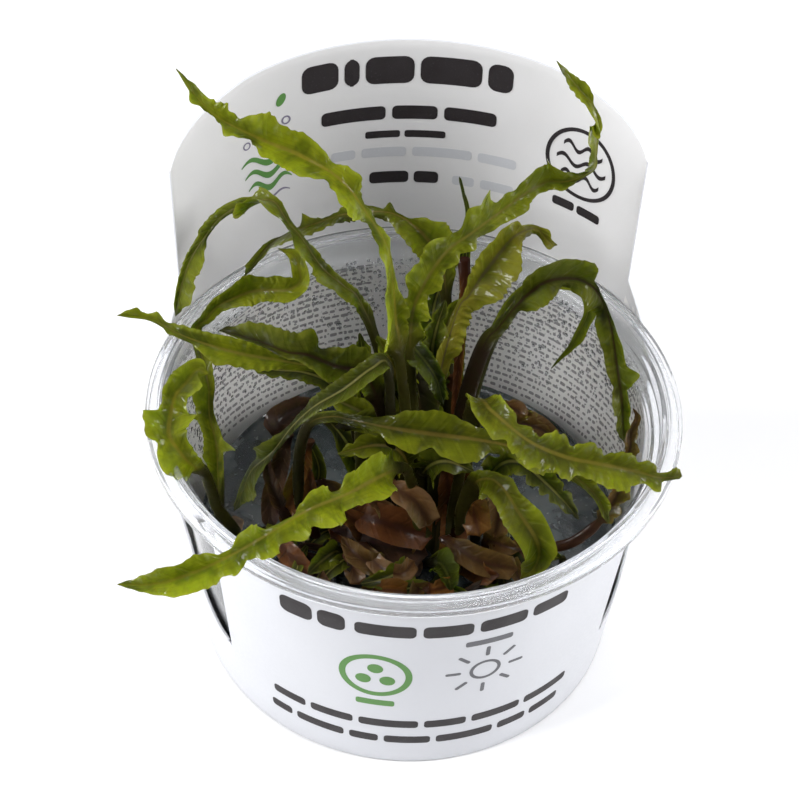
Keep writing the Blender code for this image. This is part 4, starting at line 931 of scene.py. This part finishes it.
def growLeaf(spec, seed, across=14, steps=12):
    line, run = smoothRoute(spec["route"], steps)
    last = len(line) - 1
    bpy.ops.mesh.primitive_grid_add(x_subdivisions=across * 2, y_subdivisions=last, size=2)
    piece = bpy.context.object
    flat = readPoints(piece)
    k = np.rint((flat[:, 1] + 1) / 2 * last).astype(int)      # section of each point
    place = np.rint((flat[:, 0] + 1) * across) / across       # 0..1 over the top, 1..2 back below
    v = np.where(place <= 1, place * 2 - 1, 3 - place * 2)
    edge = np.abs(v)
    below = place > 1

    # frame of each section
    along = np.empty_like(line)
    along[1:-1] = line[2:] - line[:-2]
    along[0] = (0, 0, 1)
    along[-1] = line[-1] - line[-2]
    along = unit(along)
    side = bladeSides(line, steps)
    side = unit(side - along * np.sum(side * along, 1, keepdims=True))
    up = np.cross(side, along)
    # turned about the leaf's own line
    t = np.arange(last + 1) / last
    roll = np.radians(np.interp(t * (len(spec["roll"]) - 1), np.arange(len(spec["roll"])), spec["roll"]))
    side, up = (side * np.cos(roll)[:, None] - up * np.sin(roll)[:, None],
                side * np.sin(roll)[:, None] + up * np.cos(roll)[:, None])
    # keel and ruffles rise towards the front, whichever way the blade is rolled
    front = np.array((0.06, -0.67, 0.74))
    lift = unit(front - along * (along @ front)[:, None] + 1e-6)

    # half widths of both margins, and how far their lobes sway
    blade = ease((t - spec["stalk"]) / (1 - spec["stalk"]) / 0.12)
    slim = 1 - 0.35 * t
    halves, sways = [], []
    for rows, turn in ((spec["above"], 1), (spec["beneath"], 2)):
        half = curveThrough(marginRows(spec, rows, run[-1], leafShape["stalkWidth"], seed * 2 + turn), run)
        mean = softened(half, 4 * steps)
        halves.append(np.maximum(half, 0.12))
        sways.append(softened(np.clip((half - mean) / (0.3 * mean + 0.25), -1, 1) * blade, steps // 3))
    drift = 0.6 * softNoise(run / 3.2, seed) * blade
    frill = np.sin(2 * math.pi * (run / 1.7 + 0.8 * softNoise(run / 3.0, seed + 3)) + seed)
    frill *= np.maximum(0.0, 0.45 + softNoise(run / 5.0, seed + 4)) * blade * spec["ruffle"]

    half = np.where(v > 0, halves[0][k], halves[1][k])
    plain = softened(np.minimum(halves[0], halves[1]), steps)[k]
    sway = np.where(v > 0, (sways[0] + drift)[k], (sways[1] - drift)[k])
    curl = frill[k] * edge ** 3
    rise = leafShape["keel"] * half * (np.sqrt(v * v + 0.01) - 0.1) * blade[k]
    rise += leafShape["ruffleHeight"] * 2 * half * sway * edge ** 1.9 * spec["ruffle"]
    rise += leafShape["frillHeight"] * curl * np.where(v > 0, 1, -1) * np.minimum(half, 2.5)
    reach = v * (half * edge + plain * (1 - edge)) * (1 + leafShape["frillTeeth"] * curl)
    thin = leafShape["blade"] * (1 - edge ** 6)
    rib = leafShape["rib"] * np.exp(-(reach / 0.42) ** 2) * (1 - 0.6 * t[k])
    stalk = leafShape["stalkDepth"] * slim[k] * np.sqrt(np.maximum(0, 1 - v * v))
    stalk *= np.maximum(1.0, plain / leafShape["stalkWidth"])
    depth = np.where(below, -thin - rib, thin - 0.25 * rib) * blade[k]
    depth += np.where(below, -stalk, stalk) * (1 - blade[k])
    depth *= np.minimum(1.0, half / 0.8)
    points = line[k] + side[k] * reach[:, None] + lift[k] * rise[:, None] + up[k] * depth[:, None]
    points[k == last] = line[-1]
    if 23.3 < line[0][2] < 24:
        points[k == 0] -= np.array((0, 0, leafShape["rooted"]))
    writePoints(piece, points * mm)

    # the leaf's own map: across the blade, and centimetres along it
    sheet = piece.data.uv_layers.active or piece.data.uv_layers.new()
    sheet.name = "UVMap"
    corner = np.empty(len(piece.data.loops), dtype=int)
    piece.data.loops.foreach_get("vertex_index", corner)
    sheet.data.foreach_set("uv", np.stack([v * 0.5 + 0.5, run[k] / 10], 1)[corner].ravel())
    # the crest channel drives the painted highlight on raised lobes and the painted shade in the hollows
    crest = np.clip(0.5 + 0.5 * sway * edge, 0, 1)
    tone = piece.data.color_attributes.new("leafTone", "FLOAT_COLOR", "POINT")
    tone.data.foreach_set("color", np.stack([blade[k], edge, crest, t[k]], 1).ravel())
    editMesh(piece, weld(0.000004), fillEnds)
    keepOutside(piece)
    return piece


leafSlots, leafMaterials = {}, {}
for look, (slot, *values) in leafLooks.items():
    leafSlots[look] = slot
    leafMaterials[look] = makeLeafMaterial(look + "Leaf", values[:6], *values[6:])
for number, (name, spec) in enumerate(leaves.items()):
    finish(growLeaf(spec, number + 1), name + "_fine", leafMaterials[spec["look"]],
           [name], 75)
print("leaves grown,", len(leaves))

# sunken old leaves and stalk stumps between the named ones: colour, width, way points
# the near-black pieces among them are painted shade
litter = [
    ("red", 7.5, [(-13, -4, 31), (-6, -9, 33), (4, -10, 29)]),
    ("wine", 6, [(-15, -6, 28), (-7, -10, 28), (3, -12, 26)]),
    ("tan", 5.5, [(-5, -7, 43), (-3, -10, 43), (0, -11, 41), (3, -12, 35)]),
    ("tan", 4, [(-10, -11, 29), (-7, -16, 28), (-3, -18, 28), (0, -14, 27)]),
    ("red", 4.5, [(-28, -7, 29), (-24, -13, 28), (-20, -17, 26)]),
    ("rust", 4.5, [(-20, 3, 44), (-22, 3, 34), (-24, 1, 27), (-25, -3, 24)]),
    ("rust", 6, [(10, -2, 39), (11, -6, 36), (13, -11, 30)]),
    ("brown", 5, [(14, -3, 39), (17, -6, 35), (16, -11, 29)]),
    ("brown", 5.5, [(6, -11, 30), (12, -16, 29), (20, -18, 28)]),
    ("tan", 4, [(-13, -12, 27), (-12, -15, 26), (-11, -18, 25)]),
    ("brown", 5, [(-7, -19, 25), (0, -21, 25), (7, -20, 25)]),
    ("dark", 5, [(10, -14, 26), (13, -17, 26), (18, -18, 25)]),
    ("shadowBlack", 5, [(3, -2, 46), (3, -5, 35), (3, -9, 25)]),
    ("red", 5, [(6, -5, 46), (7, -7, 35), (6, -9, 25)]),
    ("tan", 5, [(25, 28, 25), (29, 24, 24), (33, 19, 24)]),
    ("dark", 3, [(-20, 7, 40), (-18, 5, 33), (-20, 3, 26)]),
    ("wine", 4, [(-24, 3, 46), (-26, 3, 36), (-28, 1, 28), (-28, -3, 24)]),
    ("brown", 3.5, [(-18, 3, 32), (-14, 1, 30), (-13, -4, 26)]),
    ("red", 6, [(17, -11, 27), (22, -12, 26), (28, -9, 25)]),
    ("red", 4.5, [(10, 15, 42), (9, 12, 36), (9, 10, 30)]),
    ("tan", 4, [(22, 28, 27), (25, 27, 26), (26, 25, 25)]),
    ("brown", 5, [(-1, -6, 30), (-2, -10, 27), (-4, -12, 25)]),
    ("red", 6, [(-10, -1, 30), (-12, -3, 27), (-16, -6, 25)]),
    ("shadowBlack", 7, [(-2, 6, 62), (0, 3, 60), (1, -1, 55), (1, -3, 46)]),
    ("dark", 6, [(-14, -2, 53), (-8, -1, 53), (-2, -1, 50), (2, -2, 44)]),
    ("shadowBlack", 7, [(-9, 2, 58), (-6, 0, 50), (-4, -3, 40), (-3, -6, 28)]),
    ("dark", 6, [(-17, 6, 48), (-13, 3, 44), (-9, 0, 36), (-6, -4, 26)]),
    ("red", 1.8, [(10, 18, 77), (10, 14, 72), (9, 8, 62), (8, 2, 48)]),
    ("rust", 5, [(8, 7, 57), (7, 5, 50), (6, 2, 42), (5, -2, 32)]),
    ("shadowBlack", 5.5, [(3, -1, 52), (5, -4, 42), (5, -8, 32), (4, -12, 25)]),
    ("red", 6, [(9, -1, 46), (9, -5, 38), (8, -9, 30), (7, -13, 25)]),
    ("rust", 5, [(-8, -21, 27), (-5, -22, 28), (-2, -22, 27)]),
    ("rust", 4, [(2, -22, 28), (4, -22, 28), (7, -21, 28)]),
]

# short ruffled leaves low in the middle of the clump: colour, width, way points
# the near-black ones stand in for the deep shade in the clump's middle: painted shade
inner = [
    ("deep", 7, [(-1, 1, 42), (-2, 3, 54), (-4, 5, 62), (-7, 6, 69)]),
    ("dark", 6.5, [(2, 0, 44), (3, 4, 56), (4, 8, 66), (6, 10, 74)]),
    ("green", 6, [(-4, -2, 42), (-8, 0, 52), (-13, 1, 56), (-18, 2, 57)]),
    ("deep", 6.5, [(0, -4, 40), (-3, -6, 50), (-8, -8, 54), (-15, -9, 53)]),
    ("shadowBlack", 9, [(-8, 3, 50), (-1, 2, 52), (6, 3, 48)]),
    ("shadowBlack", 8, [(-4, 5, 58), (1, 5, 60), (5, 4, 54)]),
    ("dark", 6, [(1, -4, 40), (3, -7, 47), (6, -9, 50), (11, -10, 48)]),
    ("green", 5.5, [(1, 3, 46), (5, 9, 60), (8, 13, 68), (12, 15, 70)]),
    ("dark", 6, [(-3, 0, 44), (-7, 4, 54), (-9, 8, 60), (-10, 10, 66)]),
]


tangle = {
    "shreds": 70,
    "centre": (-1, -10),
    "spread": (27, 19),
    "low": (23.2, 26),
    "rise": (0.5, 2.5),
    "reach": (3, 7),
    "wide": (1.5, 4),
    "looks": ("wine", "shadowBlack", "brown", "dark"),
}


def makeLitter():
    random.seed(5)
    grown = {}

    def grow(spec, seed, across, steps):
        grown.setdefault(spec["look"], []).append(growLeaf(spec, seed, across, steps))

    for number, (look, wide, route) in enumerate(litter):
        length = sum(math.dist(a, b) for a, b in zip(route, route[1:]))
        band = [(0.3 * length, 0.44 * wide), (0.6 * length, 0.5 * wide), (0.9 * length, 0.42 * wide)]
        grow(leaf(wide, 0.04, look, route, 0.3, 4.0, above=band, beneath=band), number + 60, 8, 10)
    # short dark shreds fill the tangle over the gel
    for number in range(tangle["shreds"]):
        turn = random.uniform(0, 2 * math.pi)
        away = math.sqrt(random.random())
        x = tangle["centre"][0] + tangle["spread"][0] * away * math.cos(turn)
        y = tangle["centre"][1] + tangle["spread"][1] * away * math.sin(turn)
        heading = random.uniform(0, 2 * math.pi)
        out = Vector((math.cos(heading), math.sin(heading), 0)) * random.uniform(*tangle["reach"])
        low = Vector((x, y, random.uniform(*tangle["low"])))
        crest = low + Vector((0, 0, random.uniform(*tangle["rise"])))
        route = [tuple(low - out), tuple(crest), tuple(low + out)]
        look = random.choice(tangle["looks"])
        wide, roll = random.uniform(*tangle["wide"]), [random.uniform(-40, 40), 0]
        grow(leaf(wide, 0.04, look, route, 0.2, 3.0, roll), number + 90, 6, 8)
    for number, (look, wide, route) in enumerate(inner):
        grow(leaf(wide, 0.2, look, route, 1.0, 3.0, [0, 10]), number + 200, 12, 12)
    for look, pieces in grown.items():
        finish(joined(pieces), "litter_" + look, leafMaterials[look], (), 75)


makeLitter()
print("old leaves laid")


# crowns

crownShape = {
    "knobs": 0.14,
    "scars": 0.05,
    "grain": 0.08,
    "above": 1.1,          # rise over its middle
    "sunk": 0.3,           # its middle lies this far below the gel's top
}


def makeCrown(name, centre, radius, depth):
    bpy.ops.mesh.primitive_uv_sphere_add(segments=32, ring_count=20, radius=1)
    piece = bpy.context.object
    points = readPoints(piece)
    for i, (x, y, z) in enumerate(points):
        turn = math.atan2(y, x)
        knob = 1 - crownShape["knobs"] * (0.5 + 0.5 * math.sin(3 * turn + 4 * z))
        knob += crownShape["scars"] * math.sin(22 * z + turn) * (1 - z * z)
        knob += crownShape["grain"] * noise.noise((x * 3, y * 3, z * 3 + radius))
        # flat on top, tapered below
        tall, taper = (crownShape["above"], 1) if z > 0 else (depth, 1 - 0.55 * z * z)
        out = radius * knob * taper * 1.04
        middle = cupShape["gelTop"] - crownShape["sunk"]
        points[i] = centre[0] + x * out, centre[1] + y * out, middle + z * tall
    writePoints(piece, points * mm)
    finish(piece, name + "_fine", materials["crownBrown"], [name], 60)


for name, crown in crowns.items():
    makeCrown(name, *crown)
print("crowns made")


# print on the card: flat shapes on an unrolled sheet, then wrapped round the card

def flatBar(x, z, width, height, corner=0.3):
    bpy.ops.mesh.primitive_plane_add(size=1, location=(x, 0, z), rotation=(math.pi / 2, 0, 0))
    bar = bpy.context.object
    bar.scale = (width, height, 1)
    settle(bar)
    editMesh(bar, lambda: bpy.ops.mesh.bevel(affect="VERTICES", offset=corner * height, segments=4))
    return bar


def flatRing(x, z, radius, line, sides=48):
    bpy.ops.mesh.primitive_circle_add(vertices=sides, radius=radius, location=(x, 0, z),
                                      rotation=(math.pi / 2, 0, 0))
    ring = bpy.context.object
    shrink = (1 - line / radius,) * 3
    editMesh(ring, lambda: bpy.ops.mesh.extrude_edges_move(TRANSFORM_OT_translate={"value": (0, 0, 0)}),
             lambda: bpy.ops.transform.resize(value=shrink, center_override=(x, 0, z)))
    settle(ring)
    return ring


def placeFlat(piece, x, z, turn, squash=1.0):
    # squashed across, turned in the sheet and moved
    points = readPoints(piece)
    wide, tall = points[:, 0] * squash, points[:, 2].copy()
    turn = math.radians(turn)
    points[:, 0] = x + wide * math.cos(turn) - tall * math.sin(turn)
    points[:, 2] = z + wide * math.sin(turn) + tall * math.cos(turn)
    writePoints(piece, points)
    return piece


def flatDisc(x, z, radius, squash=1.0, turn=0.0):
    bpy.ops.mesh.primitive_circle_add(vertices=32, radius=radius, fill_type="NGON",
                                      rotation=(math.pi / 2, 0, 0))
    disc = bpy.context.object
    settle(disc)
    return placeFlat(disc, x, z, turn, squash)


def flatWave(x, z, width, swing, line, waves=2.0, taper=0.0):
    bpy.ops.mesh.primitive_grid_add(x_subdivisions=36, y_subdivisions=1, size=1)
    wave = bpy.context.object
    across, up, flat = readPoints(wave).T
    thick = line * (1 - taper * (2 * across) ** 2)
    swung = swing * np.sin(2 * math.pi * waves * (across + 0.5))
    writePoints(wave, np.stack([x + across * width, flat, z + swung + up * thick], 1))
    return wave


printShape = {
    "radius": {"front": 46.0, "tab": 50.9, "inside": 45.0},      # at which a print keeps its width
    "cuts": 1.5,           # width of the strips that follow the card's bend
    "ink": 0.03,
}


def wrapPrint(name, shapes, face, ink):
    sheet = joined(shapes)
    across = readPoints(sheet)[:, 0]

    def cutStrips():
        for cut in np.arange(math.floor(min(across)), max(across), printShape["cuts"]):
            bpy.ops.mesh.select_all(action="SELECT")
            bpy.ops.mesh.bisect(plane_co=(cut, 0, 0), plane_no=(1, 0, 0))

    editMesh(sheet, cutStrips)
    x, _, z = readPoints(sheet).T
    turn = x / printShape["radius"][face]
    degrees = np.abs(np.degrees(turn))
    if face == "front":
        radius = cardRadius(z, degrees) + sleeveShape["card"] + 0.02
        y = -radius * np.cos(turn)
    else:
        radius = cardRadius(z, 180 - degrees) - 0.05
        y = radius * np.cos(turn)
    writePoints(sheet, np.stack([radius * np.sin(turn), y, z], 1) * mm)
    applyModifier(sheet, "SOLIDIFY", thickness=printShape["ink"] * mm, offset=0)
    editMesh(sheet, faceOut)
    finish(sheet, name, inks[ink], (), 30)


def barRow(x, z, height, widths, gap):
    bars = []
    for width in widths:
        bars.append(flatBar(x + width / 2, z, width, height))
        x += width + gap
    return bars


def makeInk(name, ink, worn, wear=0.2):
    material, tree, shader = newMaterial(name)
    marks = addNode(tree, "Group", {"Ink": (*ink, 1), "Worn": (*worn, 1), "Wear": wear}, node_tree=inkWear)
    feed(tree, shader, {"Base Color": marks["Color"], "Roughness": marks["Roughness"],
                        "Specular IOR Level": 0.2})
    return material


inks = {
    "dark": makeInk("darkInk", (0.022, 0.018, 0.019), (0.12, 0.11, 0.12)),
    "green": makeInk("greenInk", (0.09, 0.24, 0.055), (0.3, 0.42, 0.22)),
    "grey": makeInk("greyInk", (0.12, 0.12, 0.13), (0.3, 0.3, 0.32)),
    "soft": makeInk("softInk", (0.34, 0.33, 0.325), (0.55, 0.54, 0.52), 0.5),
    "faint": makeInk("faintInk", (0.56, 0.57, 0.6), (0.72, 0.73, 0.76), 0.4),
    "violet": makeInk("violetInk", (0.2, 0.18, 0.26), (0.42, 0.4, 0.46)),
}


def makeTabPrint():
    heavy = barRow(-20, 97, 6.2, (7.5, 3, 9.5, 12, 5), 1.2)
    heavy += barRow(-16, 87, 3.2, (13, 9, 10.5), 1.3)
    heavy += barRow(-7, 81.8, 1.7, (7, 8.2), 0.9)
    heavy += barRow(-6, 71, 2.9, (8, 5), 1.1)
    # water mark: a ring with three waves
    heavy.append(flatRing(38, 83.5, 8.2, 0.85, 64))
    for row, width in ((87, 9), (83.5, 11.5), (80, 9)):
        heavy.append(flatWave(38, row, width, 0.9, 0.95))
    heavy += barRow(32.4, 72.6, 2.1, (5, 5.6), 0.7)
    wrapPrint("print_tab_dark", heavy, "tab", "dark")
    faint = barRow(-14, 77.4, 2.3, (5, 9, 12, 8), 1.3)
    faint += barRow(11, 70.8, 2.3, (4.5, 7), 1.3)
    wrapPrint("print_tab_faint", faint, "tab", "faint")
    # picture: reeds of water lines with bubbles over them
    green = [flatWave(-27.5, 82 - 3.1 * i, 13 - 1.5 * i, 1.1, 1.5, 1.5, 0.8) for i in range(3)]
    green += [flatDisc(-31, 92, 1.7, 0.6, 25), flatDisc(-24.5, 94.5, 1.5, 0.6, -30)]
    wrapPrint("print_tab_green", green, "tab", "green")
    violet = [flatRing(-28, 88.5, 1.6, 0.4, 32), flatRing(-23.5, 89.5, 1.0, 0.35, 24),
              flatRing(-32.5, 86.8, 0.9, 0.3, 24), flatWave(-27.5, 72.6, 9, 0.6, 0.6, 1.5, 0.6)]
    wrapPrint("print_tab_violet", violet, "tab", "violet")


def makeFrontPrint():
    dark = barRow(-28, 46.6, 5.0, (6.5, 5.2), 1.0)
    dark += barRow(-13.6, 46.4, 3.6, (11, 9, 9, 7.4), 1.2)
    dark += barRow(-32, 14.4, 2.5, (7.5, 9, 12, 8.5, 10.5, 11), 1.2)
    dark += barRow(-33, 8.6, 2.5, (5, 10.5, 6, 9.5, 12, 6.5, 7.5), 1.2)
    wrapPrint("print_front_dark", dark, "front", "dark")
    # a ring with three drops
    green = [flatRing(-9.8, 31.2, 7.0, 1.3, 64)]
    for x, z in ((-9.8, 33.6), (-12.1, 29.8), (-7.5, 29.8)):
        green.append(flatDisc(x, z, 1.5))
    green += barRow(-13.6, 21.8, 1.9, (7.6,), 1)
    wrapPrint("print_front_green", green, "front", "green")
    # a sun for the light it needs
    grey = [flatRing(11, 31.6, 3.1, 0.7)]
    grey += [placeFlat(flatBar(6.2, 0, 3.0, 0.8, 0.45), 11, 31.6, 45 * i) for i in range(8)]
    grey += barRow(6.5, 41.2, 1.6, (9,), 1)
    wrapPrint("print_front_grey", grey, "front", "grey")


def makeInnerPrint():
    # small rows printed on the card's inside, seen through the back wall
    random.seed(21)
    model = flatBar(0, 0, 1.0, 1.0)
    shape = readPoints(model)
    faces = [tuple(face.vertices) for face in model.data.polygons]
    points, corners = [], []
    for start, end, rows in ((-50, -5, 19), (12, 64, 19)):
        for row in range(rows):
            x = start + random.uniform(0, 2)
            while x < end:
                width, height = random.uniform(0.4, 1.5), random.uniform(0.5, 0.85)
                middle = (x + width / 2, 0, 47.6 - 1.6 * row + random.uniform(-0.08, 0.08))
                corners += [tuple(v + len(points) * len(shape) for v in face) for face in faces]
                points.append(shape * (width, 1, height) + middle)
                x += width + random.choice((0.3, 0.35, 0.8))
    model.data.clear_geometry()
    model.data.from_pydata(np.concatenate(points), [], corners)
    wrapPrint("print_inside", [model], "inside", "soft")


makeTabPrint()
makeFrontPrint()
makeInnerPrint()
print("print wrapped")


# water drops on the inner back wall

dropShape = {
    "count": 2400,
    "size": (0.12, 0.38),
    "spread": 82,          # degrees each way from the back
    "low": 26,
    "high": 54.2,
}


def makeDrops():
    bpy.ops.mesh.primitive_ico_sphere_add(subdivisions=1, radius=1)
    model = bpy.context.object
    shape = readPoints(model)
    faces = np.array([tuple(p.vertices) for p in model.data.polygons])
    bpy.data.objects.remove(model)
    random.seed(8)
    points, corners = [], []
    upward = np.array((0, 0, 1.0))
    for _ in range(dropShape["count"]):
        turn = math.radians(random.uniform(-dropShape["spread"], dropShape["spread"]))
        z = dropShape["low"] + (dropShape["high"] - dropShape["low"]) * random.random() ** 0.45
        size = random.uniform(*dropShape["size"]) * (0.7 if random.random() < 0.6 else 1.2)
        radius = wallRadius(z) - cupShape["wall"]
        out = np.array((math.sin(turn), math.cos(turn), 0.09))
        sideways = np.array((math.cos(turn), -math.sin(turn), 0))
        spot = np.array((radius * math.sin(turn), radius * math.cos(turn), z))
        drop = (spot + np.outer(shape[:, 0] * size, sideways) + np.outer(shape[:, 1] * size * 1.1, upward)
                + np.outer(shape[:, 2] * size * 0.45, out) - 0.12 * size * out)
        corners.append(faces + len(points) * len(shape))
        points.append(drop)
    mesh = bpy.data.meshes.new("wall_drops")
    mesh.from_pydata(np.concatenate(points) * mm, [], np.concatenate(corners).tolist())
    drops = bpy.data.objects.new("wall_drops", mesh)
    bpy.context.scene.collection.objects.link(drops)
    editMesh(drops, faceOut)
    finish(drops, "wall_drops", materials["waterDrops"], (), 80)


makeDrops()
print("drops on the wall")


# floor, light and camera

stage = {
    "floor": (0.92, 0.92, 0.93, 1),
    "world": (0.96, 0.97, 1.0, 1),
    "worldStrength": 0.24,
    # place, size and power
    "lamps": {"keyLight": ((-0.62, -0.12, 0.48), 0.4, 6.8),
              "fillLight": ((0.62, -0.12, 0.48), 0.4, 5.6),
              "topLight": ((0.0, 0.15, 0.85), 0.5, 1.6)},
}
camera = {
    "place": (-24.21, -223.0, 285.7),
    "aim": (-2.72, 0.26, 57.46),
    "lens": 76.2,
    "tilt": 2.3,
}


def aimed(name, data, place, aim, tilt=0.0):
    made = bpy.data.objects.new(name, data)
    look = (Vector(aim) - Vector(place)).to_track_quat("-Z", "Y").to_matrix()
    made.location = place
    made.rotation_euler = (look @ Matrix.Rotation(math.radians(tilt), 3, "Z")).to_euler()
    bpy.context.scene.collection.objects.link(made)
    return made


def makeStage():
    bpy.ops.mesh.primitive_grid_add(x_subdivisions=8, y_subdivisions=8, size=3, location=(0, 0, -0.0001))
    floor = bpy.context.object
    floor.name = "floor"
    material, tree, shader = newMaterial("paleFloor")
    feed(tree, shader, {"Base Color": stage["floor"], "Roughness": 0.6})
    floor.data.materials.append(material)
    bpy.context.scene.view_settings.view_transform = "Standard"
    # the clear wall lets its light through unsoftened
    bpy.context.scene.cycles.blur_glossy = 0.0
    world = bpy.data.worlds.new("softWorld")
    world.use_nodes = True
    feed(world.node_tree, world.node_tree.nodes["Background"],
         {"Color": stage["world"], "Strength": stage["worldStrength"]})
    bpy.context.scene.world = world
    for name, (place, size, power) in stage["lamps"].items():
        lamp = bpy.data.lights.new(name, "AREA")
        lamp.size = size
        lamp.energy = power
        aimed(name, lamp, place, (0, 0, 0.05))


def makeCamera():
    lens = bpy.data.cameras.new("photoCamera")
    lens.lens = camera["lens"]
    lens.sensor_width = 36
    lens.clip_start = 0.01
    place, aim = Vector(camera["place"]) * mm, Vector(camera["aim"]) * mm
    bpy.context.scene.camera = aimed("photoCamera", lens, place, aim, camera["tilt"])


makeStage()
makeCamera()
print("stage and camera set")
